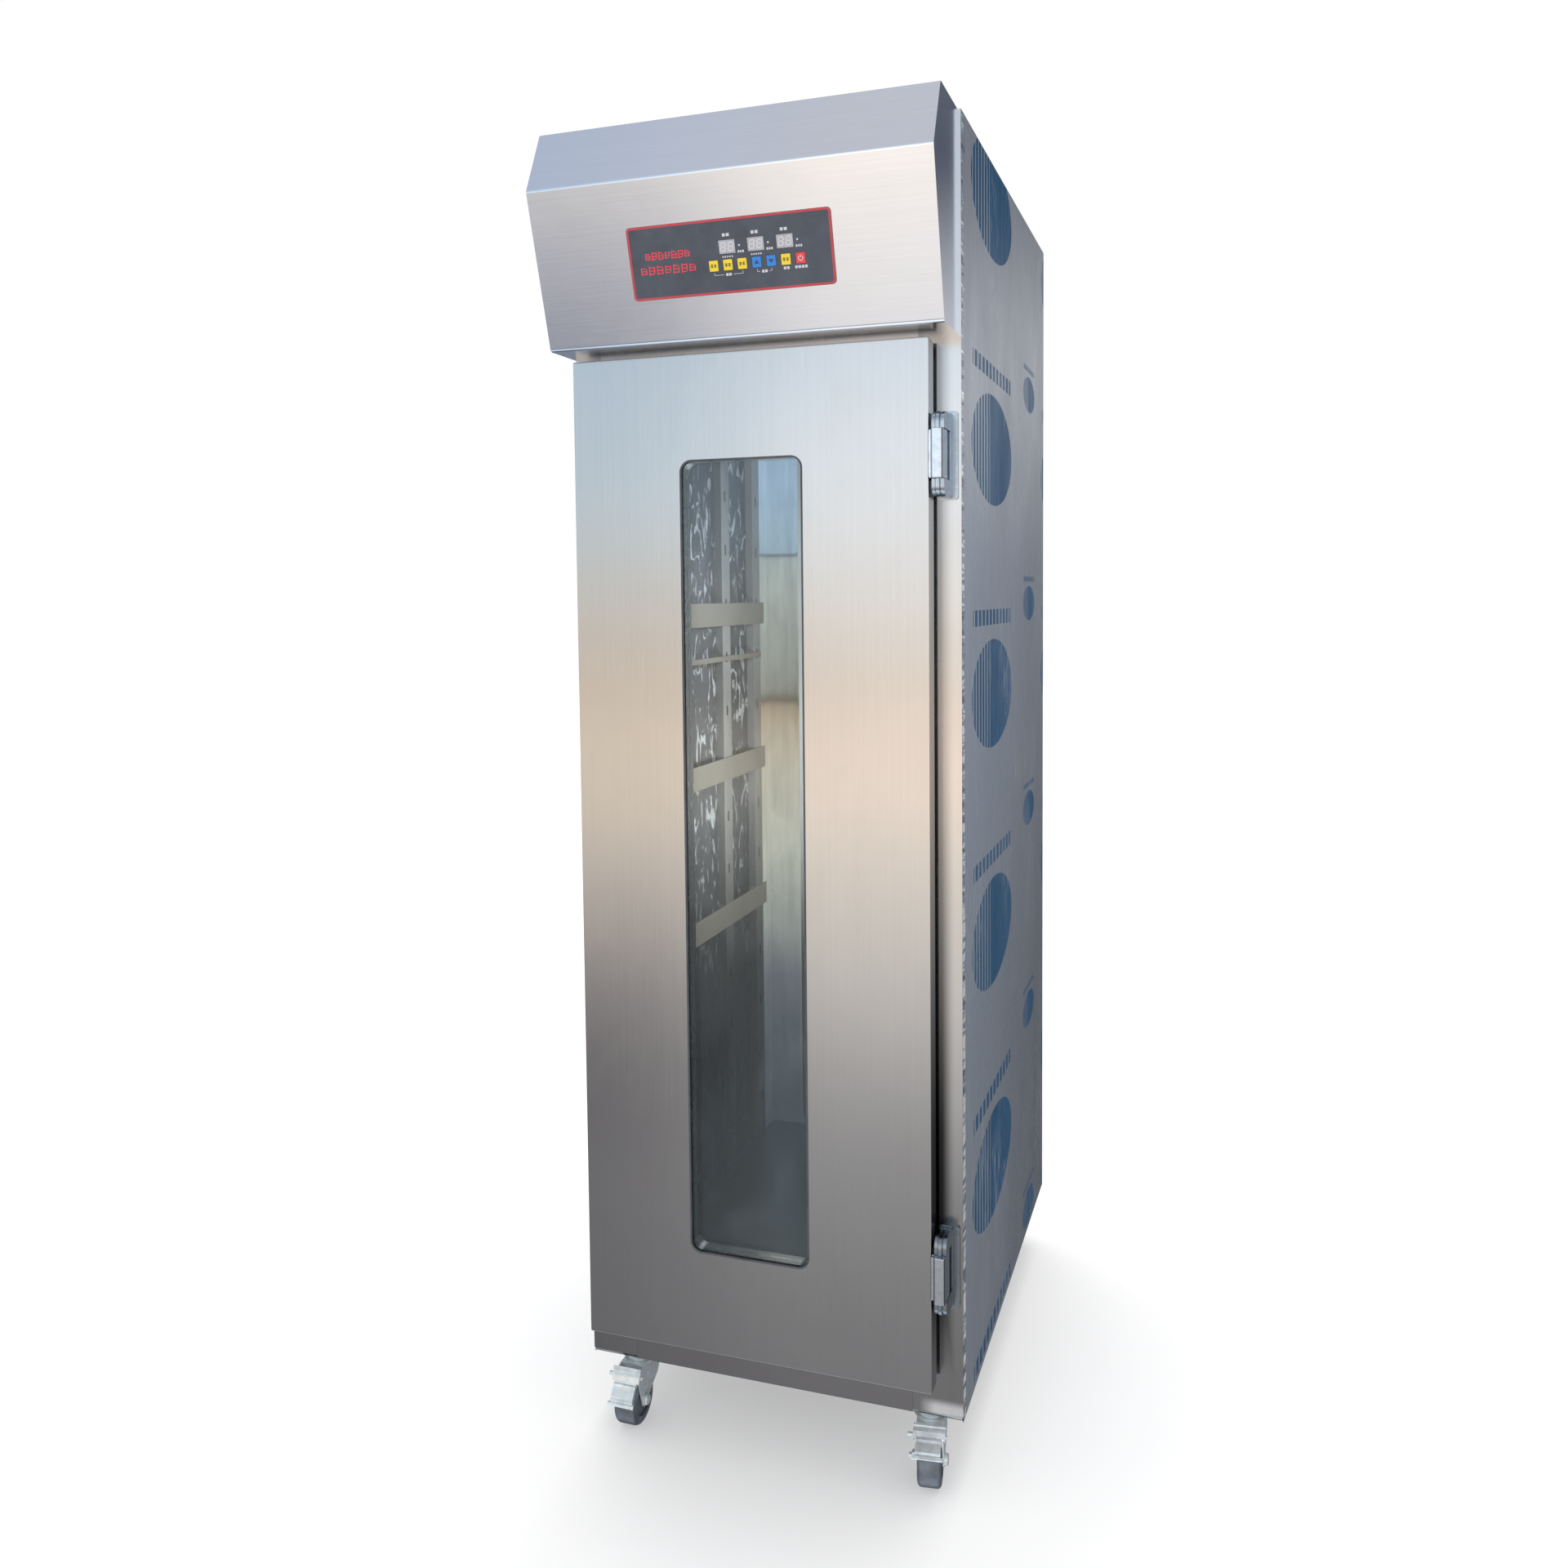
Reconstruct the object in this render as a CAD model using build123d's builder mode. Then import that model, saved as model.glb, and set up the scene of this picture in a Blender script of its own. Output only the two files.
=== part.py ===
"""Single-door spray proofing cabinet on four swivel casters.

Units are millimetres. +Z is up, the door faces -Y, and the origin is on the floor below the middle
of the bounding box. The hinge side is +X.
"""
import os
from math import atan2, cos, radians, sin

from build123d import *

# Body
body_width = 500
body_height = 1566
front = -292
rear = 398
floor_gap = 92
half_width = body_width / 2
top = floor_gap + body_height
skin = 1.2
frame_sheet = 1.5
liner = 1.0
gap = 0.2

# Door opening and chamber
opening_left = -215
opening_right = 199
opening_bottom = 162
opening_top = 1373
jamb_depth = 30
foot_height = 43
foot_width = 63
foot_roll = 6
chamber_left = -224
chamber_right = 208
chamber_back = 358
chamber_floor = 160
chamber_ceiling = 1376

# Door
door_left = -236
door_right = 219
door_bottom = 140.3
door_top = 1394.7
door_back = front - 10
door_thickness = 26
door_front = door_back - door_thickness
window_left = -92.4
window_right = 65.9
window_bottom = 269.2
window_top = 1266.8
window_radius = 15
window_lap = 10
seal_lip = 2.2
glass = 4

# Hood
hood_half_width = 246
hood_sheet = 1.5
hood_bottom = 1402
hood_crease = (-126.7, 1580.5)
hood_top_front = -90.5
hood_foot_front = -73.5

# Control panel, laid out on the hood's front face
overlay_width = 250
overlay_height = 83
overlay_thickness = 1.2
overlay_centre = (1.2, -1.2)
display_size = (20.2, 15.3)
display_first = (-0.6, 8.9)
display_pitch = 35
key_size = (11, 12)
key_first = (-19, -11)
key_pitch = 17.6
key_proud = 0.3
key_gap = 0.3
board_depth = 11

# Hinges
hinge_x = 229.5
hinge_y = -320
hinge_heights = (285, 1261.5)
hinge_pin_r = 3
knuckle_height = 57
knuckle_width = 14
knuckle_depth = 30
fin_thickness = 3.8
fin_pitch = 5.4
fin_length = 20
fin_bend = 12
hinge_base = 8
hinge_flange = 3

# Casters
caster_x = {"front_left": -196.5, "front_right": 204, "rear_left": -203, "rear_right": 203}
caster_turn = {"front_left": -0.5, "front_right": 7.5, "rear_left": -12, "rear_right": 5}
caster_inset = 34
wheel_r = 32.5
wheel_half_width = 14.5
trail = 26
axle_r = 4
arm_inner = 15.3
arm_outer = 17.3
crown_top = 79
pedal_pivot = (-42, 70)
ear_r = 5.5
pedal_released = 14
pedal_pressed = 52

running = 0.05
parts_folder = "parts"
os.makedirs(parts_folder, exist_ok=True)


def block(x0, x1, y0, y1, z0, z1, mode=Mode.ADD):
    """A box between two opposite corners, in the current part."""
    with Locations(((x0 + x1) / 2, (y0 + y1) / 2, (z0 + z1) / 2)):
        Box(x1 - x0, y1 - y0, z1 - z0, mode=mode)


def write(piece, name):
    """Label a finished piece and write its STEP file."""
    piece.part.label = name
    export_step(piece.part, os.path.join(parts_folder, f"{name}.step"))


def centred_plane(x0, x1, z0, z1, y):
    """A plane facing -Y whose origin is the middle of a front-view rectangle."""
    return Plane(origin=((x0 + x1) / 2, y, (z0 + z1) / 2), x_dir=(1, 0, 0), z_dir=(0, -1, 0))


def front_ring(x0, x1, z0, z1, border, y, depth, radius, inner_radius):
    """A ring seen from the front, growing from y towards +Y by depth, in the current part."""
    with BuildSketch(centred_plane(x0, x1, z0, z1, y)) as ring:
        RectangleRounded(x1 - x0, z1 - z0, radius)
        RectangleRounded(x1 - x0 - 2 * border, z1 - z0 - 2 * border, inner_radius, mode=Mode.SUBTRACT)
    extrude(ring.sketch, amount=-depth)


# ---------------------------------------------------------------- outer casing
def side_panel(name, x_outer, direction):
    """Outer side skin with a narrow flange turned in at its rear edge."""
    with BuildPart() as panel:
        inner = x_outer - direction * skin
        block(min(x_outer, inner), max(x_outer, inner), front + frame_sheet, rear, floor_gap - 2, top - skin)
        flange = inner - direction * 14
        block(min(inner, flange), max(inner, flange), rear - 2 * skin - gap, rear - skin - gap,
              floor_gap + 2, top - skin)
    write(panel, name)


side_panel("side_panel_left", -half_width, -1)
side_panel("side_panel_right", half_width, 1)


def stile(name, x_outer, x_opening, direction):
    """Front corner post: a face that widens to a rolled foot, and the door jamb behind it."""
    foot_edge = x_outer - direction * foot_width
    foot_bottom = floor_gap - 2
    foot_top = foot_bottom + foot_height
    roll_z = foot_bottom + foot_roll
    roll_y = front + foot_roll
    with BuildPart() as post:
        with BuildSketch(Plane.XZ.offset(-front)):
            with BuildLine():
                Polyline((x_outer, roll_z), (x_outer, top - skin), (x_opening, top - skin),
                         (x_opening, foot_top), (foot_edge, foot_top), (foot_edge, roll_z), close=True)
            make_face()
        extrude(amount=-frame_sheet)
        jamb = x_opening + direction * frame_sheet
        block(min(x_opening, jamb), max(x_opening, jamb), front + frame_sheet, front + jamb_depth,
              foot_top, top - skin)
        with BuildSketch(Plane.YZ.offset(foot_edge)):
            with BuildLine():
                RadiusArc((front, roll_z), (roll_y, foot_bottom), -foot_roll)
                Line((roll_y, foot_bottom), (roll_y, foot_bottom + frame_sheet))
                RadiusArc((roll_y, foot_bottom + frame_sheet), (front + frame_sheet, roll_z),
                          foot_roll - frame_sheet)
                Line((front + frame_sheet, roll_z), (front, roll_z))
            make_face()
        extrude(amount=direction * (foot_width - skin - gap))
    write(post, name)


stile("stile_left", -half_width, opening_left, -1)
stile("stile_right", half_width, opening_right, 1)

with BuildPart() as bottom_rail:
    rail_end = half_width - foot_width - gap
    rail_shoulder = floor_gap - 2 + foot_height + gap
    with BuildSketch(Plane.XZ.offset(-front)):
        with BuildLine():
            Polyline((-rail_end, floor_gap), (rail_end, floor_gap), (rail_end, rail_shoulder),
                     (opening_right, rail_shoulder), (opening_right, opening_bottom),
                     (opening_left, opening_bottom), (opening_left, rail_shoulder),
                     (-rail_end, rail_shoulder), close=True)
        make_face()
    extrude(amount=-frame_sheet)
    block(opening_left + gap, opening_right - gap, front + frame_sheet, front + jamb_depth,
          opening_bottom - frame_sheet, opening_bottom)
write(bottom_rail, "bottom_rail")

with BuildPart() as header_panel:
    block(opening_left, opening_right, front, front + frame_sheet, opening_top, top - skin)
    block(opening_left + gap, opening_right - gap, front + frame_sheet, front + jamb_depth,
          opening_top, opening_top + frame_sheet)
    with BuildSketch(Plane.XZ.offset(-front)):
        with Locations((-120, hood_bottom + 90)):
            RectangleRounded(90, 50, 6)
    extrude(amount=-frame_sheet, mode=Mode.SUBTRACT)
write(header_panel, "header_panel")

with BuildPart() as roof_panel:
    block(-half_width, half_width, front, rear, top - skin, top)
    fillet(roof_panel.edges().filter_by(Axis.Z), radius=2)
write(roof_panel, "roof_panel")

with BuildPart() as base_pan:
    pan_half = half_width - skin
    pan_front = front + foot_roll + 2
    block(-pan_half, pan_half, pan_front, rear - 3 * skin, floor_gap, floor_gap + skin)
    block(-half_width + foot_width + 1, half_width - foot_width - 1, front + frame_sheet, pan_front,
          floor_gap, floor_gap + skin)
write(base_pan, "base_pan")

shoe = 64
shoe_sheet = 4
caster_places = [(x, front + caster_inset if name.startswith("front") else rear - caster_inset)
                 for name, x in caster_x.items()]
with BuildPart() as corner_shoes:
    for px, py in caster_places:
        block(px - shoe / 2, px + shoe / 2, py - shoe / 2 + 1, py + shoe / 2 - 5, floor_gap + skin,
              floor_gap + skin + shoe_sheet)
write(corner_shoes, "corner_shoes")

# Rear panel, with louvre slots for the control compartment and holes for the pipe and the gland
gland_x, gland_z, gland_r = 170, 1450, 8
pipe_x, pipe_z, pipe_r = -8, 640, 6
screw_r = 2
screw_x = half_width - 8
screw_heights = [floor_gap + 40 + i * (body_height - 80) / 5 for i in range(6)]
vent_rows, vent_pitch, vent_slot = 8, 16, (120, 6)
with BuildPart() as rear_panel:
    block(-pan_half, pan_half, rear - skin, rear, floor_gap, top - skin)
    with BuildSketch(Plane.XZ.offset(-rear)):
        with Locations((gland_x, gland_z)):
            Circle(gland_r + gap)
        with Locations((pipe_x, pipe_z)):
            Circle(pipe_r + gap)
        for row in range(vent_rows):
            with Locations((-60, gland_z + 40 + row * vent_pitch)):
                SlotOverall(*vent_slot)
        for z in screw_heights:
            with Locations((-screw_x, z), (screw_x, z)):
                Circle(screw_r + gap)
    extrude(amount=skin, mode=Mode.SUBTRACT)
write(rear_panel, "rear_panel")

with BuildPart() as panel_screws:
    for z in screw_heights:
        for x in (-screw_x, screw_x):
            with Locations(Location((x, rear + 1.2, z), (90, 0, 0))):
                Cylinder(radius=4, height=2.4)
            with Locations(Location((x, rear - 0.6, z), (90, 0, 0))):
                Cylinder(radius=screw_r, height=1.2)
            block(x - 2.6, x + 2.6, rear + 1.4, rear + 2.4, z - 0.5, z + 0.5, mode=Mode.SUBTRACT)
            block(x - 0.5, x + 0.5, rear + 1.4, rear + 2.4, z - 2.6, z + 2.6, mode=Mode.SUBTRACT)
write(panel_screws, "panel_screws")

# ---------------------------------------------------------------- chamber and insulation
with BuildPart() as liner_wrap:
    low, high = chamber_floor - 2, chamber_ceiling + 2
    jamb_back = front + jamb_depth
    block(chamber_left - liner, chamber_left, jamb_back, chamber_back + liner, low, high)
    block(chamber_right, chamber_right + liner, jamb_back, chamber_back + liner, low, high)
    block(chamber_left - liner, chamber_right + liner, chamber_back, chamber_back + liner, low, high)
    block(chamber_left - liner, opening_left, jamb_back, jamb_back + liner, low, high)
    block(opening_right, chamber_right + liner, jamb_back, jamb_back + liner, low, high)
    with Locations(Location((pipe_x, chamber_back, pipe_z), (90, 0, 0))):
        Cylinder(radius=pipe_r + gap, height=10, mode=Mode.SUBTRACT)
write(liner_wrap, "liner_wrap")

with BuildPart() as liner_floor:
    block(chamber_left, chamber_right, jamb_back + liner, chamber_back, chamber_floor - liner, chamber_floor)
    block(opening_left, opening_right, jamb_back, jamb_back + liner, chamber_floor - liner, chamber_floor)
    drain_place = (pipe_x, 120, chamber_floor)
    with Locations(drain_place):
        Cylinder(radius=12, height=10, mode=Mode.SUBTRACT)
write(liner_floor, "liner_floor")

with BuildPart() as liner_ceiling:
    block(chamber_left, chamber_right, jamb_back + liner, chamber_back, chamber_ceiling,
          chamber_ceiling + liner)
    block(opening_left, opening_right, jamb_back, jamb_back + liner, chamber_ceiling,
          chamber_ceiling + liner)
write(liner_ceiling, "liner_ceiling")

with BuildPart() as insulation:
    slack = 0.4
    foam_low, foam_high = chamber_floor - 2, chamber_ceiling + 1
    foam_front, foam_rear = jamb_back + liner + slack, rear - 10
    left_in, right_in = chamber_left - liner - slack, chamber_right + liner + slack
    side_out = half_width - skin - slack
    block(-side_out, left_in, foam_front, foam_rear, foam_low, foam_high)
    block(right_in, side_out, foam_front, foam_rear, foam_low, foam_high)
    block(chamber_left, chamber_right, chamber_back + liner + slack, foam_rear, foam_low, foam_high)
    block(-side_out, side_out, foam_front, foam_rear, floor_gap + skin + shoe_sheet + slack,
          foam_low - slack)
    block(-side_out, side_out, foam_front, foam_rear, chamber_ceiling + 2 + slack, hood_bottom)
    with Locations(Location((pipe_x, rear - 20, pipe_z), (90, 0, 0))):
        Cylinder(radius=pipe_r + gap, height=60, mode=Mode.SUBTRACT)
write(insulation, "insulation")

# ---------------------------------------------------------------- control hood
crease_y, crease_z = front + hood_crease[0], hood_crease[1]
face_drop = crease_z - hood_bottom
face_run = hood_foot_front - hood_crease[0]
face_lean = atan2(face_run, face_drop)
face_normal = Vector(0, -cos(face_lean), -sin(face_lean))
face_plane = Plane(
    origin=(0, front + (hood_crease[0] + hood_foot_front) / 2, (crease_z + hood_bottom) / 2),
    x_dir=(1, 0, 0),
    z_dir=face_normal,
)


def on_face(depth):
    """The hood's front face plane, moved into the hood by depth."""
    return face_plane.offset(-depth)


hood_profile = [
    (front, hood_bottom),
    (front + hood_foot_front, hood_bottom),
    (crease_y, crease_z),
    (front + hood_top_front, top),
    (front, top),
]
with BuildPart() as hood_shell:
    with BuildSketch(Plane.YZ.offset(-hood_half_width)) as outline:
        with BuildLine():
            Polyline(*hood_profile, close=True)
        make_face()
        fillet(outline.vertices().sort_by(Axis.X)[:3], radius=5)
    extrude(amount=2 * hood_half_width)
    with BuildSketch(Plane.YZ.offset(-hood_half_width + hood_sheet)):
        with BuildLine():
            Polyline(*hood_profile, close=True)
        make_face()
        offset(amount=-hood_sheet, kind=Kind.INTERSECTION, mode=Mode.REPLACE)
    extrude(amount=2 * (hood_half_width - hood_sheet), mode=Mode.SUBTRACT)
    block(-hood_half_width + 12, hood_half_width - 12, front - hood_sheet, front, hood_bottom + 12,
          top - 12, mode=Mode.SUBTRACT)
    with BuildSketch(on_face(0)):
        with Locations((35, 0)):
            RectangleRounded(150, 62, 4)
    extrude(amount=-2 * hood_sheet, mode=Mode.SUBTRACT)
write(hood_shell, "hood_shell")

display_places = [(display_first[0] + i * display_pitch, display_first[1]) for i in range(3)]
key_places = [(key_first[0] + i * key_pitch, key_first[1]) for i in range(7)]
key_names = ("temperature", "humidity", "timer", "up", "down", "light", "power")

with BuildPart() as control_overlay:
    with BuildSketch(on_face(0)):
        with Locations(overlay_centre):
            RectangleRounded(overlay_width, overlay_height, 5)
        with Locations(*display_places):
            Rectangle(*display_size, mode=Mode.SUBTRACT)
        with Locations(*key_places):
            RectangleRounded(key_size[0] + 2 * key_gap, key_size[1] + 2 * key_gap, 1.2, mode=Mode.SUBTRACT)
    extrude(amount=overlay_thickness)
write(control_overlay, "control_overlay")

for key_name, place in zip(key_names, key_places):
    with BuildPart() as key:
        with BuildSketch(on_face(2)):
            with Locations(place):
                RectangleRounded(*key_size, 1)
        extrude(amount=2 + overlay_thickness + key_proud)
        crown = key.faces().sort_by(lambda f: f.center().dot(face_normal))[-1]
        fillet(crown.edges(), radius=0.25)
        with BuildSketch(on_face(6)):
            with Locations(place):
                Circle(2)
        extrude(amount=4)
    write(key, f"key_{key_name}")

with BuildPart() as displays:
    with BuildSketch(on_face(board_depth)):
        with Locations(*display_places):
            Rectangle(display_size[0] - 2 * gap, display_size[1] - 2 * gap)
    extrude(amount=board_depth + overlay_thickness - 0.5)
write(displays, "displays")

board_thickness = 1.6
switch_gap = 1.4
with BuildPart() as control_board:
    with BuildSketch(on_face(board_depth + board_thickness)):
        with Locations((30, 0)):
            Rectangle(180, 70)
    extrude(amount=board_thickness)
    with BuildSketch(on_face(board_depth)):
        with Locations(*key_places):
            Rectangle(6, 6)
    extrude(amount=board_depth - 6 - switch_gap)
    with BuildSketch(on_face(board_depth)):
        with Locations((30 - 83, 31), (30 + 83, 31), (30 - 83, -31), (30 + 83, -31)):
            Circle(3)
    extrude(amount=board_depth - hood_sheet)
    with BuildSketch(on_face(board_depth + board_thickness)):
        with Locations((-30, 12)):
            Rectangle(36, 30)
        with Locations((30, -18)):
            Rectangle(44, 12)
    extrude(amount=-14)
write(control_board, "control_board")

# ---------------------------------------------------------------- inside the chamber
rack_depth = 12
bar_thickness = 2
bar_seat = 0.05
post_width = 34
post_places = [front + y for y in (95, 252, 420, 560)]
bar_heights = (589, 825, 1071)
bar_height = 36
rod_height = 1001
slot_levels = [230 + 85 * i for i in range(13)]


def tray_rack(name, wall_x, direction):
    """Slotted uprights with three flat bars and one rod hung on them, standing against a chamber wall."""
    face = wall_x + direction * rack_depth
    bar_back = face + direction * bar_seat
    bar_face = bar_back + direction * bar_thickness
    with BuildPart() as rack:
        for y in post_places:
            inner = face - direction * 1.5
            block(min(face, inner), max(face, inner), y - post_width / 2, y + post_width / 2,
                  chamber_floor + 2, chamber_ceiling - 2)
            for side in (-1, 1):
                edge = y + side * post_width / 2
                block(min(wall_x, face), max(wall_x, face), min(edge, edge - side * 1.5),
                      max(edge, edge - side * 1.5), chamber_floor + 2, chamber_ceiling - 2)
            for z in slot_levels:
                block(min(face, inner) - 1, max(face, inner) + 1, y - 3, y + 3, z, z + 16,
                      mode=Mode.SUBTRACT)
        for z in bar_heights:
            block(min(bar_back, bar_face), max(bar_back, bar_face), front + 70, front + 590,
                  z - bar_height / 2, z + bar_height / 2)
        block(min(bar_back, bar_face), max(bar_back, bar_face), front + 80, front + 575, rod_height - 4,
              rod_height + 4)
    write(rack, name)


tray_rack("rack_left", chamber_left, 1)
tray_rack("rack_right", chamber_right, -1)

duct_half = 143
duct_x = pipe_x
duct_front = 300
fan_z = 1180
fan_r = 62
with BuildPart() as air_duct:
    block(duct_x - duct_half, duct_x + duct_half, duct_front, duct_front + skin, 200, 1340)
    for side in (-1, 1):
        edge = duct_x + side * duct_half
        inner = edge - side * skin
        block(min(edge, inner), max(edge, inner), duct_front + skin, chamber_back, 200, 1340)
    with BuildSketch(Plane.XZ.offset(-duct_front)):
        with Locations((duct_x, fan_z)):
            Circle(fan_r)
        for row in range(10):
            with Locations((duct_x - 100, 300 + row * 80), (duct_x + 100, 300 + row * 80)):
                SlotOverall(60, 10)
        with Locations((pipe_x, pipe_z)):
            Circle(12)
    extrude(amount=-skin, mode=Mode.SUBTRACT)
    with BuildSketch(Plane.XZ.offset(-duct_front)):
        with Locations((duct_x, fan_z)):
            Rectangle(2 * fan_r + 4, 3)
            Rectangle(3, 2 * fan_r + 4)
            for ring in (20, 40):
                Circle(ring + 1.5)
                Circle(ring - 1.5, mode=Mode.SUBTRACT)
                Rectangle(2 * fan_r + 4, 3)
                Rectangle(3, 2 * fan_r + 4)
    extrude(amount=-skin)
write(air_duct, "air_duct")

motor_r = 40
shaft_r = 4
with BuildPart() as fan_motor:
    with Locations(Location((duct_x, 339, fan_z), (90, 0, 0))):
        Cylinder(radius=motor_r, height=2 * (chamber_back - 339))
        Cylinder(radius=shaft_r + running, height=60, mode=Mode.SUBTRACT)
    fillet(fan_motor.edges().filter_by(GeomType.CIRCLE).group_by(Axis.Y)[0].sort_by(Edge.length)[-1], 4)
write(fan_motor, "fan_motor")

blade_count = 7
blade_pitch = radians(22)
with BuildPart() as fan_rotor:
    with BuildSketch(Plane.XZ.offset(-318)):
        with Locations((duct_x, fan_z)):
            Circle(16)
    extrude(amount=14)
    with BuildSketch(Plane.XZ.offset(-352)):
        with Locations((duct_x, fan_z)):
            Circle(shaft_r)
    extrude(amount=34)
    for i in range(blade_count):
        turn = 360 / blade_count * i
        outward = Vector(cos(radians(turn)), 0, sin(radians(turn)))
        around = Vector(-outward.Z, 0, outward.X)
        blade_normal = Vector(0, -cos(blade_pitch), 0) + around * sin(blade_pitch)
        with BuildSketch(Plane(origin=(duct_x, 311, fan_z), x_dir=outward, z_dir=blade_normal)):
            with Locations((35, 0)):
                RectangleRounded(42, 20, 7)
        extrude(amount=0.8, both=True)
write(fan_rotor, "fan_rotor")

with BuildPart() as heater_element:
    heater_y = 328
    with BuildLine() as heater_path:
        turns = []
        for i in range(4):
            x = duct_x - 90 + i * 60
            ends = (860, 1040) if i % 2 == 0 else (1040, 860)
            turns += [(x, heater_y, ends[0]), (x, heater_y, ends[1])]
        FilletPolyline(*turns, radius=20)
    with BuildSketch(Plane(origin=heater_path.line @ 0, z_dir=heater_path.line % 0)):
        Circle(4)
    sweep()
write(heater_element, "heater_element")

# Water pipe: threaded tail outside, nozzle cone at the chamber end
nozzle_y = duct_front - 22
thread_r = 10.4
tail_length = 16
with BuildPart() as spray_nozzle:
    with BuildSketch(Plane.XZ.offset(-(rear + gap))):
        with Locations((pipe_x, pipe_z)):
            Circle(thread_r)
    extrude(amount=-tail_length)
    with BuildSketch(Plane.XZ.offset(-(nozzle_y + 14))):
        with Locations((pipe_x, pipe_z)):
            Circle(pipe_r)
    extrude(amount=-(rear + gap - nozzle_y - 14))
    with BuildSketch(Plane.XZ.offset(-(nozzle_y + 14))):
        with Locations((pipe_x, pipe_z)):
            Circle(9)
    extrude(amount=14, taper=20)
    with Locations(Location((pipe_x, rear, pipe_z), (90, 0, 0))):
        Cylinder(radius=4, height=2 * (tail_length + 40), mode=Mode.SUBTRACT)
write(spray_nozzle, "spray_nozzle")

gland_length = 20.4
with BuildPart() as power_gland:
    with BuildSketch(Plane.XZ.offset(-rear)):
        with Locations((gland_x, gland_z)):
            RegularPolygon(13, 6)
    extrude(amount=-8)
    with BuildSketch(Plane.XZ.offset(-(rear + 8))):
        with Locations((gland_x, gland_z)):
            Circle(11)
    extrude(amount=-(gland_length - 8))
    fillet(power_gland.edges().filter_by(GeomType.CIRCLE).group_by(Axis.Y)[-1], radius=3)
    with BuildSketch(Plane.XZ.offset(-(rear - 14))):
        with Locations((gland_x, gland_z)):
            Circle(gland_r)
    extrude(amount=-14)
    with Locations(Location((gland_x, rear, gland_z), (90, 0, 0))):
        Cylinder(radius=5, height=80, mode=Mode.SUBTRACT)
write(power_gland, "power_gland")

# ---------------------------------------------------------------- door
window = (window_left, window_right, window_bottom, window_top)


def window_hole(grow, y, depth, radius=window_radius):
    """Cut the window's outline, grown by grow, from y towards +Y, in the current part."""
    with BuildSketch(centred_plane(*window, y)) as hole:
        RectangleRounded(window_right - window_left + 2 * grow, window_top - window_bottom + 2 * grow,
                         radius)
    extrude(hole.sketch, amount=-depth, mode=Mode.SUBTRACT)


with BuildPart() as door_skin:
    block(door_left, door_right, door_front, door_back - liner, door_bottom, door_top)
    fillet(door_skin.edges().filter_by(Axis.Y), radius=2)
    fillet(door_skin.faces().sort_by(Axis.Y)[0].outer_wire().edges(), radius=1.5)
    block(door_left + skin, door_right - skin, door_front + skin, door_back, door_bottom + skin,
          door_top - skin, mode=Mode.SUBTRACT)
    window_hole(0, door_front - 1, 6)
write(door_skin, "door_skin")

flange_depth = 20
reveal_inset = 2
with BuildPart() as door_liner:
    block(door_left, door_right, door_back - liner, door_back, door_bottom, door_top)
    window_hole(-reveal_inset, door_back - 3, 6, window_radius - reveal_inset)
    front_ring(window_left + reveal_inset - liner, window_right - reveal_inset + liner,
               window_bottom + reveal_inset - liner, window_top - reveal_inset + liner, liner,
               door_back - flange_depth, flange_depth - liner, window_radius - reveal_inset + liner,
               window_radius - reveal_inset)
write(door_liner, "door_liner")

with BuildPart() as outer_glass:
    with BuildSketch(centred_plane(*window, door_front + skin)):
        RectangleRounded(window_right - window_left + 2 * window_lap,
                         window_top - window_bottom + 2 * window_lap, window_radius)
    extrude(amount=-glass)
write(outer_glass, "outer_glass")

inner_pane_y = door_back - 12
with BuildPart() as inner_glass:
    pane_inset = reveal_inset + gap
    with BuildSketch(centred_plane(*window, inner_pane_y)):
        RectangleRounded(window_right - window_left - 2 * pane_inset,
                         window_top - window_bottom - 2 * pane_inset, window_radius - pane_inset)
    extrude(amount=-glass)
write(inner_glass, "inner_glass")

with BuildPart() as window_seal:
    seal_proud = 0.4
    front_ring(window_left, window_right, window_bottom, window_top, seal_lip, door_front - seal_proud,
               seal_proud + skin, window_radius, window_radius - seal_lip)
write(window_seal, "window_seal")

with BuildPart() as door_insulation:
    inset = skin + 0.5
    block(door_left + inset, door_right - inset, door_front + skin + 0.3, door_back - liner - 0.3,
          door_bottom + inset, door_top - inset)
    window_hole(window_lap + 2, door_front, door_thickness)
write(door_insulation, "door_insulation")

with BuildPart() as door_gasket:
    gasket_edge, gasket_width, gasket_gap = 6, 12, 0.6
    front_ring(door_left + gasket_edge, door_right - gasket_edge, door_bottom + gasket_edge,
               door_top - gasket_edge, gasket_width, door_back, front - gasket_gap - door_back, 8, 3)
write(door_gasket, "door_gasket")

pull_height = 150
pull_z = 770
with BuildPart() as door_pull:
    block(door_left - 9, door_left, door_front + 16, door_back - 2, pull_z - pull_height / 2,
          pull_z + pull_height / 2)
    fillet(door_pull.edges().filter_by(Axis.Z).sort_by(Axis.X)[:2], radius=3)
    block(door_left - 6, door_left - 1.5, door_back - 7, door_back + 1, pull_z - pull_height / 2 + 8,
          pull_z + pull_height / 2 - 8, mode=Mode.SUBTRACT)
write(door_pull, "door_pull")

# ---------------------------------------------------------------- hinges
base_half_height = knuckle_height / 2 + fin_length + 3
base_corner = 4
hinge_relief = 0.4
pin_half = knuckle_height / 2 + 14


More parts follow.
